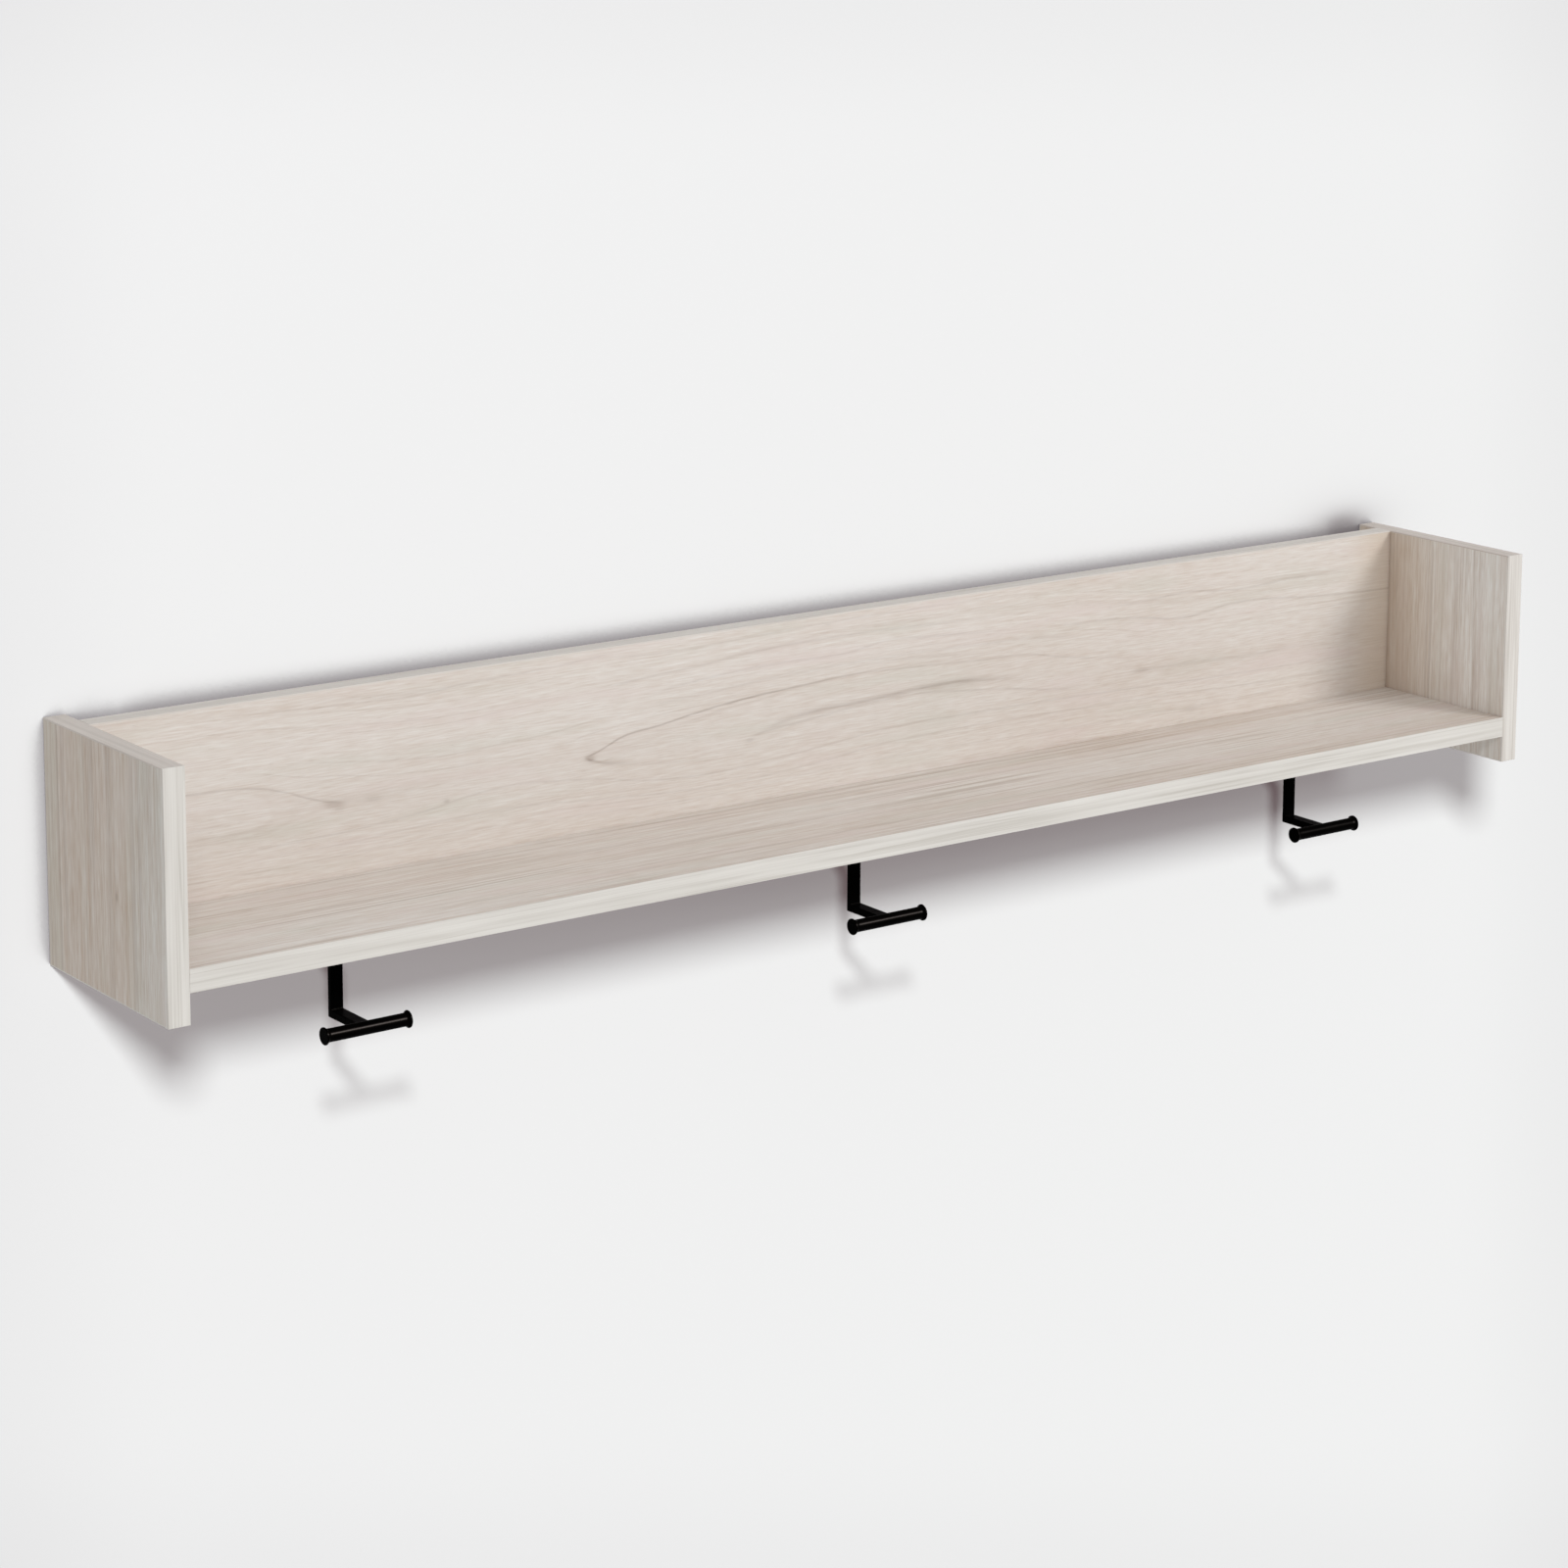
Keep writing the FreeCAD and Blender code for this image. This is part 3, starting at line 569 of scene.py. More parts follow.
loop_line = [
    (400, 91), (412, 93.5), (441, 103.5), (466, 106), (500, 111), (545, 116), (600, 119), (640, 121),
    (700, 119.5), (760, 116.5), (820, 114), (840, 110), (880, 103.5), (915, 99), (930, 91), (940, 87),
]
inner_streak = [
    (540, 83), (556, 88), (575, 93), (600, 97), (650, 99), (700, 101.5), (750, 102), (790, 99), (830, 96),
]
under_streak = [(560, 88), (600, 92), (700, 98), (760, 93.5), (800, 89.5), (840, 83.5), (880, 82)]
knot_line = [
    (0, 113), (86, 111.5), (116, 110.5), (140, 108), (157, 103.5), (180, 95), (199, 89.5), (215, 88),
]
tip_hook = [(404, 91), (410, 88.5), (420, 85.5), (440, 83), (470, 82)]
faint_lines = [
    ([(800, 135), (850, 133.5), (916, 131), (945, 127.5), (966, 124.5), (995, 125.5), (1020, 129),
      (1055, 129.5), (1109, 125), (1150, 123), (1219, 121)], 1.0, 0.34, (800, 900, 1180, 1300)),
    ([(880, 142), (930, 142.5), (985, 144.5), (1016, 141.5), (1045, 140.5), (1090, 142.5), (1160, 141),
      (1219, 142)], 1.0, 0.30, (880, 950, 1090, 1200)),
    ([(920, 87), (960, 86.5), (1000, 86), (1040, 84), (1080, 85), (1140, 85)],
     1.9, 0.22, (915, 935, 1060, 1130)),
    ([(0, 166), (86, 163), (166, 159), (220, 157), (266, 156), (300, 159), (366, 161), (430, 165.5)],
     0.8, 0.24, (60, 200, 400, 460)),
    ([(400, 164.5), (466, 160), (560, 162), (640, 164), (760, 164)], 0.9, 0.2, (400, 450, 700, 800)),
    ([(425, 141), (466, 144), (516, 147), (540, 149.5), (650, 152), (716, 150.5), (830, 148)],
     1.1, 0.26, (420, 440, 690, 850)),
    ([(460, 130), (490, 134), (566, 138.5), (640, 138.5), (675, 143), (720, 141), (800, 136)],
     1.1, 0.24, (455, 480, 740, 820)),
    ([(460, 122), (500, 124.5), (580, 128.5), (640, 130), (760, 129), (840, 125.5), (890, 117)],
     1.6, 0.16, (455, 490, 840, 900)),
    ([(60, 66), (190, 67), (266, 72), (316, 79), (345, 80.5), (380, 78), (416, 74), (466, 66), (520, 64),
      (600, 68.5), (680, 75), (766, 75.5), (900, 74), (1016, 71), (1219, 71)],
     0.8, 0.24, (60, 220, 980, 1300)),
    ([(60, 56), (216, 60), (340, 64), (416, 59), (516, 54), (600, 57), (680, 64), (900, 64), (1066, 60),
      (1219, 60)], 0.8, 0.2, (100, 300, 1000, 1400)),
    ([(0, 50), (166, 50.5), (300, 53), (416, 49), (516, 47), (640, 52), (900, 50), (1219, 53)],
     0.7, 0.14, (0, 100, 1100, 1300)),
]
marks_and_shade = drawn(loop_line, 0.8, 0.75, (401, 412, 520, 700))
marks_and_shade = marks_and_shade + drawn(loop_line, 0.9, 0.30, (500, 620, 850, 935))
marks_and_shade = marks_and_shade + drawn(tip_hook, 1.3, 0.55, (402, 408, 412, 450))
marks_and_shade = marks_and_shade + drawn(inner_streak, 2.6, 0.34, (540, 590, 770, 830))
marks_and_shade = marks_and_shade + drawn(inner_streak, 1.1, 0.30, (560, 640, 740, 790))
marks_and_shade = marks_and_shade + drawn(under_streak, 1.0, 0.28, (545, 560, 840, 880))
marks_and_shade = marks_and_shade + drawn(knot_line, 0.9, 0.42, (-50, 0, 196, 212))
for points, width, strength, fades in faint_lines:
    marks_and_shade = marks_and_shade + drawn(points, width, strength, fades)
for place, height, length, breadth, strength in (
    (198, 88.5, 7, 2.6, 0.55), (203, 85, 4, 1.6, 0.3), (230, 87.5, 7, 1.8, 0.28), (288, 77, 2.4, 1.4, 0.4),
    (408, 90.5, 4, 2.4, 0.5), (931, 87, 9, 2.0, 0.26), (985, 48, 9, 1.4, 0.3), (549, 84, 4, 1.4, 0.35),
    (735, 101, 26, 3.4, 0.22), (240, 90, 40, 3.5, 0.10), (440, 95, 30, 5.0, 0.08),
):
    away = ((along - place) / length) ** 2.0 + ((across - height) / breadth) ** 2.0
    marks_and_shade = marks_and_shade + strength / (1.0 + away * away)
front_face = back.y < back_middle_y
# Painted shade on the front face along the shelf and into the corners at the side panels, each along a thin
# dark joint line. Near the right end the print is also painted warmer: painted shade in that corner.
joint_lines_and_shade = joint_line_and_painted_shade(abs(back.z - shelf_top_z), 0.05, 0.01) + joint_line_and_painted_shade(panel_inner_x - abs(back.x), 0.22, 0.05)
marks_and_shade = marks_and_shade * (0.52 + 0.7 * ragged) + joint_lines_and_shade
duller = 0.26 / (1.0 + ((along - 905.0) / 130.0) ** 4.0)
print_wood(
    back, along, across, (1.0 - front_face) * 23.0 + 7.0, rings=figure_reach, warmth_and_shade=duller - 0.05,
    tan_and_shade=0.5 * back.smooth(back.x, 535.0, 588.0), strength=1.3, fine=1.3, line_share=0.2,
    marks_and_shade=marks_and_shade * front_face,
)
back.cover("back_panel")

# Back panel edge bands: the strips glued along its top and bottom edges, with the print lengthwise. The
# panel's ends stay raw, because they butt against the side panels.

back_band = Finish("back panel band print", Specular_IOR_Level=0.35)
print_band(back_band, back_band.x, back_band.y, (back_band.z > 0.0) * 4.0 + 33.0, warmth_and_shade=0.3)
back_band.cover("back_panel_edge_bands")

# Shelf board: the same faced board, laid flat against the back panel with its grain lengthwise. The hooks
# hang under it.

shelf = Finish("shelf wood print", Specular_IOR_Level=0.32)
top_face = shelf.z > shelf_middle_z
# Painted shade on the top face in the corners against the back panel and the side panels, each along a thin
# dark joint line.
joint_lines_and_shade = joint_line_and_painted_shade(abs(shelf.y - back_front_y), 0.06, 0.10) + joint_line_and_painted_shade(panel_inner_x - abs(shelf.x), 0.14, 0.10)
duller = 0.2 * shelf.smooth(shelf.x, 40.0, 260.0) * (1.0 - shelf.smooth(shelf.x, 380.0, 520.0))
duller = duller + 0.14 * shelf.smooth(-shelf.y, 118.0, 150.0)
print_wood(
    shelf, shelf.x, shelf.y, top_face * 19.0 + 43.0, warmth_and_shade=duller - 0.02, broad=2.0, strength=2.6,
    fine=1.35, line_share=0.5, marks_and_shade=joint_lines_and_shade * top_face,
)
shelf.cover("shelf_board")

# Shelf front edge band: one strip glued along the front edge and scraped flush, with a soft darker vein
# down its middle.

shelf_band = Finish("shelf band print", Specular_IOR_Level=0.35)
print_band(shelf_band, shelf_band.x, shelf_band.z, 57.0, vein=-68.5)
shelf_band.cover("shelf_front_edge_band")

# Back joint screws: long one-piece connector screws, driven with a hexagon key through the back panel
# into the shelf's rear edge. The coarse thread starts where the shelf starts.


def star(reach, width):
    """The outline of a cross recess as a radius for each angle: the farther edge of two crossed slots."""
    def outline(angle):
        cosine, sine = abs(np.cos(angle)) + 1e-9, abs(np.sin(angle)) + 1e-9
        flat = np.minimum(reach / cosine, width / sine)
        upright = np.minimum(width / cosine, reach / sine)
        return np.maximum(flat, upright)
    return outline


def hexagon(half_width):
    """The outline of a hexagon socket as a radius for each angle: the flat's distance over a cosine."""
    def outline(angle):
        return half_width / np.cos((angle + math.pi / 6) % (math.pi / 3) - math.pi / 6)
    return outline


def screw(face, socket, depth, body, shape=None, columns=96):
    """A screw turned round local X. Its head's face is at the distance face, with a socket of the given
    outline that narrows to four fifths at its floor. Body holds the (distance, radius) steps after it."""
    distance, radius = np.array(body, float).T
    angle = np.arange(columns) * (2 * math.pi / columns)
    mouth = socket(angle)
    spread = np.repeat(radius[:, None], columns, axis=1)
    if shape is not None:
        spread = spread + shape(distance[:, None], angle[None, :])
    spread = np.concatenate([[mouth * 0.45, mouth * 0.8, mouth, mouth * 1.04], spread])
    places = np.concatenate([[face + depth, face + depth, face + 0.04, face], distance])
    return skin(around(places, spread, angle), (face + depth, 0, 0), (distance[-1], 0, 0))


def along_back_joint(shell, y, places_x):
    return [placed(shell, (x, y, shelf_middle_z), TO_ROOM, UP) for x in places_x]


connector_steps, connector_ridge = thread(17.0, 46.5, 2.45, 3.5, 3.1)
connector = screw(0.0, hexagon(2.0), 2.5, [
    (0.0, 4.75), (0.15, 4.95), (0.4, 4.9), (3.0, 3.5), (16.4, 3.5),
] + connector_steps + [(46.8, 2.4), (50.0, 0.5)], connector_ridge)
back_rear_y = -20.0
connector_places_x = np.linspace(-550.0, 550.0, 6)
piece(
    "back_joint_screws_threaded", along_back_joint(connector, back_rear_y, connector_places_x), plated,
    "plated_steel", "back_joint_screws",
)

# Back joint dowels: two more fluted beech pins, glued between the back panel and the shelf. They keep the
# two level while the screws draw them together.

joint_dowel_places_x = (-220.0, 220.0)
piece(
    "back_joint_dowels_fluted", along_back_joint(dowel(), back_front_y, joint_dowel_places_x), beech,
    "beech", "back_joint_dowels",
)

# Rack rail: a strip of birch plywood with a bevelled lower edge, screwed to the back of the back panel. It
# hooks over the wall rail.


def plywood(name, sheet):
    """Birch plywood: rotary-cut figure on its faces, and seven plies of turning grain on its edges."""
    finish = Finish(name, Specular_IOR_Level=0.35)
    ply = (finish.y + 20.0) / 2.6
    layer = finish.math("FLOOR", ply)
    turn = finish.math("PINGPONG", layer, 1.0)
    edge_lengthwise = finish.noise(finish.x / 30.0, layer * 5.3, finish.z / 0.6, detail=3.0)
    edge_endwise = finish.noise(finish.x / 0.7, layer * 5.3, finish.z / 0.7, detail=3.0)
    grain = edge_lengthwise * turn + edge_endwise * (1.0 - turn)
    waves = finish.noise(finish.x / 160.0, finish.z / 26.0, sheet, detail=1.0) * 9.0
    figure = finish.noise(finish.z / 7.0 + waves, sheet, finish.x / 700.0, detail=3.0)
    glue = 1.0 - finish.smooth(abs(finish.math("PINGPONG", ply, 0.5)), 0.0, 0.06)
    tone = 0.45 + turn * 0.30 + grain * 0.8 + figure * 0.5
    colour = finish.mix(tone, shade(228, 206, 172), shade(196, 166, 126))
    colour = finish.mix(glue * 0.45, colour, shade(128, 98, 70))
    finish.show(colour, 0.6 + grain * 0.2, 0.5 + grain * 0.5 - glue * 0.3, 0.00006)
    return finish


plywood("rack rail plywood", 3.0).cover("rack_rail")

# Rack rail screws: five zinc-plated wood screws with countersunk cross heads, driven through the rack rail
# into the back panel.

rail_steps, rail_ridge = thread(9.0, 27.0, 1.25, 2.0, 1.8)
rail_screw = screw(0.0, star(2.2, 0.5), 1.4, [
    (0.0, 3.75), (0.1, 3.92), (0.3, 3.8), (2.4, 2.0), (8.6, 2.0),
] + rail_steps + [(27.3, 1.2), (30.0, 0.3)], rail_ridge)
rail_rear_y, rail_screw_z = -2.0, 46.0
rail_screw_places_x = np.linspace(-500.0, 500.0, 5)
piece(
    "rack_rail_screws_threaded",
    [placed(rail_screw, (x, rail_rear_y, rail_screw_z), TO_ROOM, UP) for x in rail_screw_places_x], plated,
    "plated_steel", "rack_rail_screws",
)

# Wall rail: the matching plywood strip, screwed to the wall through its countersunk holes, which carries
# the rack on its bevel.

plywood("wall rail plywood", 9.0).cover("wall_rail")

# Hooks: flat steel bar with square corners, as flange, strap and a thicker arm, and a turned cross bar
# welded to the arm. All of it is coated in one satin black, and two screws hold each flange to the shelf.

hook_places_x = {"left": -440.0, "middle": 0.0, "right": 440.0}
bracket_half_width = 4.8
bracket_arris = 0.35
flange_end_y = -50.5
flange_corner = 2.0
flange_low_z = -79.0
strap_front_y, strap_rear_y = -86.5, -82.5
arm_top_z, arm_low_z = -135.25, -140.75
outer_corner, inner_corner = 0.8, 0.5
cross_bar_y, cross_bar_z = -125.5, -138.0
cross_bar_radius = 4.7
weld_leg = 0.5
hole_radius = 2.25
flange_screw_places_y = (-56.5, -74.5)
drill_low_z, drill_high_z = -90.0, -70.0


def section_rows():
    """The bracket's section from corner to corner, each row (side, inset, face, depth). A corner is a
    quarter circle, the arris times (1 - sin a, 1 - cos a), between two support points on the flats."""
    turn = np.radians(np.linspace(0.0, 90.0, 6))
    inset = np.concatenate([[2 * bracket_arris], bracket_arris * (1 - np.sin(turn)), [0.0]])
    depth = np.concatenate([[0.0], bracket_arris * (1 - np.cos(turn)), [2 * bracket_arris]])
    rows = []
    for side, face, order in ((1, 0, 1), (1, 1, -1), (-1, 1, 1), (-1, 0, -1)):
        rows.append(np.stack([np.full(8, side), inset[::order], np.full(8, face), depth[::order]], -1))
    return np.concatenate(rows)[::-1].T


def quarter(middle_y, middle_z, radius, start, end):
    """Points (y, z) on a quarter circle: the middle plus the radius times (cos a, sin a)."""
    turn = np.radians(np.linspace(start, end, 8))
    return np.stack([middle_y + radius * np.cos(turn), middle_z + radius * np.sin(turn)], -1)


def bent_line(flange_y, flange_z, strap_y, arm_z, first_radius, second_radius):
    """One face of the bracket as a line in the YZ plane: along the flange, round a corner, down the strap,
    round the other corner and out along the arm."""
    support = 0.35
    first_y, first_z = strap_y + first_radius, flange_z - first_radius
    second_y, second_z = strap_y - second_radius, arm_z + second_radius
    return np.concatenate([
        np.stack([flange_y, np.full_like(flange_y, flange_z)], -1),
        [(first_y + support, flange_z)],
        quarter(first_y, first_z, first_radius, 90, 180),
        [(strap_y, first_z - support), (strap_y, -95.0), (strap_y, -115.0), (strap_y, second_z + support)],
        quarter(second_y, second_z, second_radius, 0, -90),
        [(second_y - support, arm_z), (-100.0, arm_z), (-112.0, arm_z)],
    ])


def bracket_rings(x):
    """The section carried between two lines in the YZ plane, one down the flange's top, the strap's front
    and the arm's top, the other down their far faces. It narrows along a circle at the flange's end, and
    swells into a small hollow weld that follows the cross bar's round surface."""
    from_end = flange_corner * (1 - np.cos(np.radians(np.linspace(8.0, 90.0, 9))))
    flange_y = np.concatenate([flange_end_y - from_end, [-62.0, -70.0, -79.5]])
    near = bent_line(flange_y, shelf_low_z, strap_front_y, arm_top_z, outer_corner, inner_corner)
    far = bent_line(flange_y, flange_low_z, strap_rear_y, arm_low_z, inner_corner, outer_corner)
    from_end = np.concatenate([from_end, np.full(len(near) - len(from_end), flange_corner)])
    narrowing = flange_corner - np.sqrt(flange_corner ** 2 - (flange_corner - from_end) ** 2)
    edge = np.clip(bracket_arris - from_end, 0, bracket_arris)
    thinning = bracket_arris - np.sqrt(bracket_arris ** 2 - edge ** 2)
    half_width = (bracket_half_width - narrowing - thinning)[:, None]
    across = far - near
    thickness = np.linalg.norm(across, axis=1, keepdims=True)
    across /= thickness
    side, inset, face, depth = section_rows()
    into = np.where(face > 0, thickness - thinning[:, None] - depth, thinning[:, None] + depth)
    bar = np.stack([
        x + side * (half_width - inset),
        near[:, :1] + across[:, :1] * into,
        near[:, 1:] + across[:, 1:] * into,
    ], -1)
    swell = np.linspace(0.0, 1.0, 8)[:, None]
    growth = weld_leg * (1 - np.sqrt(1 - 0.98 * swell ** 2))
    arm_half = (arm_top_z - arm_low_z) / 2
    rise = np.where(face > 0, -1, 1) * (arm_half + growth - depth)
    on_bar_y = cross_bar_y + np.sqrt(cross_bar_radius ** 2 - rise ** 2)
    weld = np.stack([
        x + side * (bracket_half_width + growth - inset),
        on_bar_y + weld_leg * (1 - swell),
        cross_bar_z + rise,
    ], -1)
    start = (x, flange_end_y, (shelf_low_z + flange_low_z) / 2)
    return np.concatenate([bar, weld]), start, (x, cross_bar_y + cross_bar_radius, cross_bar_z)


def drilled(made, places):
    """Cuts the screws' round upright holes through a piece at (x, y) places, and keeps the cut mesh."""
    drill = turned([(drill_low_z, hole_radius), (drill_high_z, hole_radius)])
    drills = [placed(drill, (x, y, 0.0), UP, TO_RIGHT) for x, y in places]
    cutter = piece("drill", drills, black_coat, "black_coat")
    cut = made.modifiers.new("holes", "BOOLEAN")
    cut.operation = "DIFFERENCE"
    cut.solver = "EXACT"
    cut.object = cutter
    finished = bpy.data.meshes.new_from_object(made.evaluated_get(bpy.context.evaluated_depsgraph_get()))
    made.modifiers.clear()
    old, made.data = made.data, finished
    bpy.data.meshes.remove(old)
    bpy.data.objects.remove(cutter)
    finished.shade_smooth()
    finished.set_sharp_from_angle(angle=crease)


cross_bar_half = 32.7
rim_radius = 6.1
rim_width = 0.9
rim_arris = 0.3
flare_length = 3.0


def cross_bar(x):
    """A round bar whose radius grows near each end along a circle to a thin rim with softened edges."""
    rise = rim_radius - cross_bar_radius
    hollow = (flare_length ** 2 + rise ** 2) / (2 * rise)
    into = np.linspace(0.0, flare_length, 10)
    flare = cross_bar_radius + hollow - np.sqrt(hollow ** 2 - into ** 2)
    round_off = np.radians(np.linspace(0.0, 90.0, 6))
    rim_x = cross_bar_half - rim_width
    half = [(0.0, cross_bar_radius), (14.0, cross_bar_radius), (27.0, cross_bar_radius)]
    half += list(zip(rim_x - flare_length + into, flare))
    half += [(rim_x + 0.1, rim_radius), (cross_bar_half - rim_arris - 0.1, rim_radius)]
    arris_x, arris_radius = cross_bar_half - rim_arris, rim_radius - rim_arris
    half += list(zip(arris_x + rim_arris * np.sin(round_off), arris_radius + rim_arris * np.cos(round_off)))
    half += [(cross_bar_half, arris_radius - 0.15), (cross_bar_half, 2.0)]
    profile = [(-distance, radius) for distance, radius in half[:0:-1]] + half
    return placed(turned(profile, 96), (x, cross_bar_y, cross_bar_z), TO_RIGHT, UP)


black_coat = Finish("satin black coat", Specular_IOR_Level=0.005, Specular_Tint=(1.0, 0.86, 0.78, 1.0))
peel = black_coat.speckle(0.55)
handling = black_coat.speckle(14.0)
black_coat.show(
    black_coat.mix(0.5 + handling, shade(0.0, 0.0, 0.0), shade(0.6, 0.5, 0.5)),
    0.27 + handling * 0.08 + peel * 0.04, 0.5 + peel * 0.5, 0.000008,
)
hook_steps, hook_ridge = thread(1.0, 12.4, 1.3, 2.0, 1.5)
crown = [
    (-2.4 + 1.2 * (1 - math.sin(turn)), 3.8 - 1.2 + 1.2 * math.cos(turn))
    for turn in np.radians(np.linspace(90.0, 0.0, 7))
]
hook_screw = screw(-2.4, star(2.2, 0.5), 1.4, crown + [
    (-0.15, 3.8), (0.0, 3.65), (0.0, 2.0), (0.6, 2.0),
] + hook_steps + [(12.6, 1.25), (15.0, 0.3)], hook_ridge)
for side, x in hook_places_x.items():
    rings, start, end = bracket_rings(x)
    bracket = piece(
        f"{side}_hook_bracket_eased", [skin(rings, start, end)], black_coat, "black_coat",
        f"{side}_hook_bracket",
    )
    drilled(bracket, [(x, y) for y in flange_screw_places_y])
    piece(f"{side}_hook_bar_turned", [cross_bar(x)], black_coat, "black_coat", f"{side}_hook_bar")
    piece(
        f"{side}_hook_screws_threaded",
        [placed(hook_screw, (x, y, flange_low_z), UP, TO_RIGHT) for y in flange_screw_places_y], black_coat,
        "black_coat", f"{side}_hook_screws",
    )

# Stage: a plain pale wall that curves out into a pale floor well below the rack. It is seen from its front
# only, so that the rack's back shows from behind, and it lets the soft light of the room through. Its paint
# carries painted light that evens out the lamp's falling off, and painted shade close round the rack, below
# the shelf, in the recess corner above the back panel's right end and at the room's far edges.

wall_y = 0.0008
floor_z = -1.6
cove_radius = 0.6
wall_top_z = 2.6
floor_front_y = -4.5
stage_half_width = 5.0
cove_turns = np.radians(np.linspace(0.0, 90.0, 25))
sheet_y = np.concatenate([
    [wall_y], wall_y - cove_radius + cove_radius * np.cos(cove_turns), [floor_front_y],
])
sheet_z = np.concatenate([
    [wall_top_z], floor_z + cove_radius - cove_radius * np.sin(cove_turns), [floor_z],
])
sheet_points = [
    (side * stage_half_width, y, z) for y, z in zip(sheet_y.tolist(), sheet_z.tolist()) for side in (-1, 1)
]
sheet_faces = [(2 * row, 2 * row + 2, 2 * row + 3, 2 * row + 1) for row in range(len(sheet_y) - 1)]
sheet_mesh = bpy.data.meshes.new("wall_and_floor")
sheet_mesh.from_pydata(sheet_points, [], sheet_faces)
sheet_mesh.shade_smooth()
backdrop = bpy.data.objects.new("wall_and_floor", sheet_mesh)
bpy.context.scene.collection.objects.link(backdrop)
backdrop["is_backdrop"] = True
wall_lamp_place = (-2.70, -4.20, 2.35)
paint = Finish("wall paint", Specular_IOR_Level=0.0, Emission_Strength=1.0)
rolled = paint.speckle(2.0)
lamp_x, lamp_y, lamp_z = (1000.0 * place for place in wall_lamp_place)
squares = (paint.x - lamp_x) ** 2.0 + (paint.z - lamp_z) ** 2.0 + lamp_y ** 2
lamp_distance = paint.math("SQRT", squares) / math.hypot(lamp_x, lamp_y, lamp_z)
# The wall's evenly lit field: its four edges lean a little, and past them the paint carries painted shade.
left_end, right_end = 0.031 * paint.z - 628.0, 825.0 - 0.054 * paint.z
high_end, low_end = 513.0 - 0.032 * paint.x, -678.0 - 0.274 * paint.x
from_left = (paint.x - left_end) / (right_end - left_end)
from_low = (paint.z - low_end) / (high_end - low_end)
from_side = paint.math("MINIMUM", from_left, 1.0 - from_left)
from_level = paint.math("MINIMUM", from_low, 1.0 - from_low)
painted_edge_shade = 0.955 + 0.045 * paint.smooth(from_side, -0.03, 0.085)
painted_edge_shade = painted_edge_shade * (0.955 + 0.045 * paint.smooth(from_level, -0.03, 0.085))
# Painted contact shade: the wall is painted darker where the rack closes it in within 4 cm.
open_share = paint.node("ShaderNodeAmbientOcclusion", {"samples": 16}, {"Distance": 0.04}, output="AO")
painted_contact_shade = paint.run(open_share, [
    (0.0, 0.25), (0.40, 0.35), (0.45, 0.42), (0.57, 0.66), (0.62, 0.92), (0.68, 0.98), (0.75, 1.0),
    (1.0, 1.0),
], 0.0, 1.0)
painted_contact_shade = paint.mix(painted_contact_shade * painted_edge_shade, (0.05, 0.02, 0.04, 1.0), (1.0, 1.0, 1.0, 1.0))
# Painted light: the paint grows lighter away from the wall's lamp, evening out its falling off. Painted
# shade: darker just below the shelf, and in the recess corner above the back panel's right end.
painted_light_and_shade = (0.995 + rolled * 0.01) * paint.math("MINIMUM", lamp_distance, 1.4) ** 2.46
painted_shade_below_shelf = (paint.z < 0.0) * paint.smooth(paint.z, -172.0, -132.0)
painted_shade_below_shelf = painted_shade_below_shelf * paint.smooth(paint.x, -600.0, 250.0)
painted_shade_below_shelf = painted_shade_below_shelf * (1.0 - paint.smooth(paint.x, 560.0, 600.0))
painted_recess_shade_distance = ((paint.x - 575.0) / 30.0) ** 2.0 + ((paint.z - 74.0) / 13.0) ** 2.0
painted_light_and_shade = painted_light_and_shade * (0.985 - 0.29 * painted_shade_below_shelf) * (1.0 - 0.57 / (1.0 + painted_recess_shade_distance ** 1.5))
grey = paint.node("ShaderNodeCombineColor", inputs={0: painted_light_and_shade * 0.2515, 1: painted_light_and_shade * 0.2635, 2: painted_light_and_shade * 0.2615})
paint.show(paint.mix(1.0, grey, painted_contact_shade, blend_type="MULTIPLY"), 0.9 + rolled * 0.05)
sights = ("Is Camera Ray", "Is Glossy Ray", "Is Transmission Ray")
rays = [paint.node("ShaderNodeLightPath", output=sight) for sight in sights]
seen_directly = paint.math("MINIMUM", rays[0] + rays[1] + rays[2], 1.0)
glow = paint.mix(1.0, (0.046, 0.008, 0.015, 1.0), painted_contact_shade, blend_type="MULTIPLY")
glow = paint.mix(seen_directly, (0.0, 0.0, 0.0, 1.0), glow)
paint.tree.links.new(glow.socket, paint.shader.inputs["Emission Color"])
clear = paint.node("ShaderNodeBsdfTransparent")
backside = paint.node("ShaderNodeNewGeometry", output="Backfacing")
two_sided = paint.node(
    "ShaderNodeMixShader", inputs={0: backside, 1: Signal(paint, paint.shader.outputs["BSDF"]), 2: clear},
)
paint.tree.links.new(two_sided.socket, paint.surface)
sheet_mesh.materials.append(paint.material)
backdrop.visible_shadow = False
backdrop.visible_diffuse = False

# Light: the room's even light, and round softboxes off at the upper left. One lights the wall and is shaded
# by the boards, a higher one lights it too and is shaded by the hooks, and a third lights the rack. Others
# light the rack from the upper right and from below.

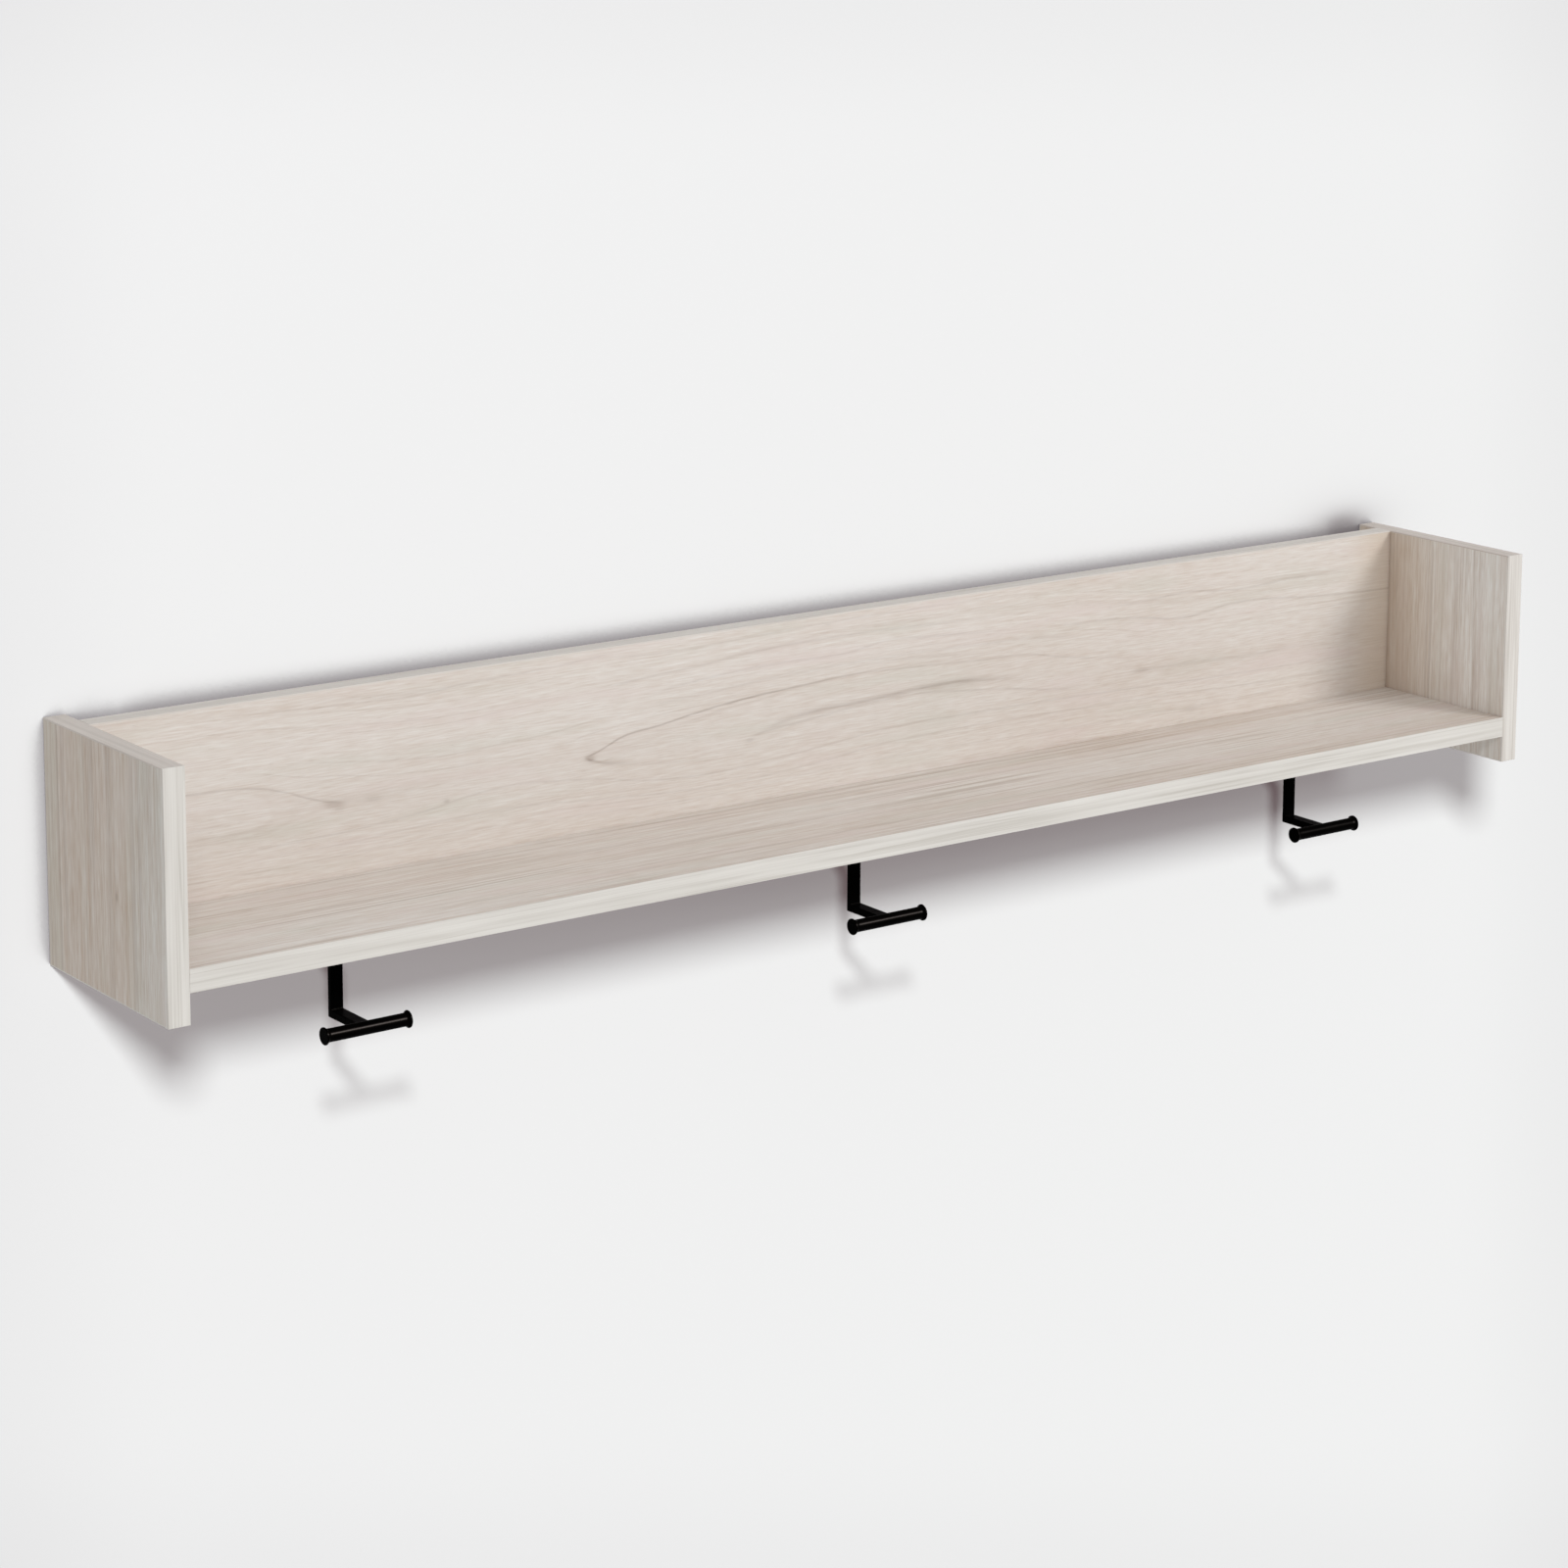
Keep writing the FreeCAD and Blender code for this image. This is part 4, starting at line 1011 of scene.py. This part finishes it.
room = bpy.data.worlds.new("room")
bpy.context.scene.world = room
room.use_nodes = True
room_tree = room.node_tree
room_light = room_tree.nodes["Background"]
room_light.inputs["Color"].default_value = (1.0, 1.0, 1.0, 1.0)
room_light.inputs["Strength"].default_value = 0.52
seen = room_tree.nodes.new("ShaderNodeBackground")
seen.inputs["Color"].default_value = (0.88, 0.88, 0.88, 1.0)
path = room_tree.nodes.new("ShaderNodeLightPath")
straight = room_tree.nodes.new("ShaderNodeMath")
straight.operation = "ADD"
any_sight = room_tree.nodes.new("ShaderNodeMath")
any_sight.operation = "ADD"
any_sight.use_clamp = True
choice = room_tree.nodes.new("ShaderNodeMixShader")
for source, target in (
    (path.outputs[sights[0]], straight.inputs[0]),
    (path.outputs[sights[1]], straight.inputs[1]),
    (straight.outputs[0], any_sight.inputs[0]),
    (path.outputs[sights[2]], any_sight.inputs[1]),
    (any_sight.outputs[0], choice.inputs[0]),
    (room_light.outputs[0], choice.inputs[1]),
    (seen.outputs[0], choice.inputs[2]),
    (choice.outputs[0], room_tree.nodes["World Output"].inputs["Surface"]),
):
    room_tree.links.new(source, target)


def softbox(name, place, size, power, lit, shading=None):
    """A round lamp at a place, aimed at the rack, that lights the objects of one collection. Where shading
    is given, only that collection's objects throw its shadow."""
    lamp = bpy.data.lights.new(name, "AREA")
    lamp.shape = "DISK"
    lamp.size = size
    lamp.energy = power
    box = bpy.data.objects.new(name, lamp)
    bpy.context.scene.collection.objects.link(box)
    box.location = place
    box.rotation_mode = "QUATERNION"
    box.rotation_quaternion = Vector(place).to_track_quat("Z", "Y")
    box.visible_camera = False
    box.light_linking.receiver_collection = lit
    if shading is not None:
        box.light_linking.blocker_collection = shading


rack_alone = bpy.data.collections.new("rack_alone")
hooks_alone = bpy.data.collections.new("hooks_alone")
boards_alone = bpy.data.collections.new("boards_alone")
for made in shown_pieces():
    rack_alone.objects.link(made)
    (hooks_alone if "hook_b" in made.name else boards_alone).objects.link(made)
wall_alone = bpy.data.collections.new("wall_alone")
wall_alone.objects.link(backdrop)
softbox("key_softbox_on_wall", wall_lamp_place, 0.9, 800.0, wall_alone, boards_alone)
softbox("high_softbox_on_wall", (-2.75, -4.20, 3.0), 0.5, 390.0, wall_alone, hooks_alone)
softbox("key_softbox_on_rack", (-3.86, -6.57, 4.78), 1.6, 113.0, rack_alone)
right_place = (3.08, -4.85, 3.03)
softbox("right_softbox", right_place, 2.0, 143.0, rack_alone)
softbox("right_softbox_on_hooks", right_place, 1.4, 4400.0, hooks_alone)
softbox("low_softbox", (0.0, -5.0, -3.5), 4.0, 43.0, rack_alone)

# Camera: the photograph's view, from the left, above the shelf and about 2.8 m off.

image_width = 1600.0
focal_pixels = 4020.7
yaw, pitch, roll = 0.6312, 0.173, 0.0043
camera_place = (-1.7108, -2.3350, 0.6846)
ahead = Vector((math.sin(yaw) * math.cos(pitch), math.cos(yaw) * math.cos(pitch), -math.sin(pitch)))
lens = bpy.data.cameras.new("camera")
lens.sensor_width = 36.0
lens.lens = focal_pixels * lens.sensor_width / image_width
lens.shift_y = -0.2
lens.clip_end = 60.0
camera = bpy.data.objects.new("camera", lens)
bpy.context.scene.collection.objects.link(camera)
camera.location = camera_place
camera.rotation_mode = "QUATERNION"
camera.rotation_quaternion = ahead.to_track_quat("-Z", "Y") @ Quaternion((0, 0, 1), roll)
bpy.context.scene.camera = camera
bpy.context.scene.view_settings.view_transform = "Standard"
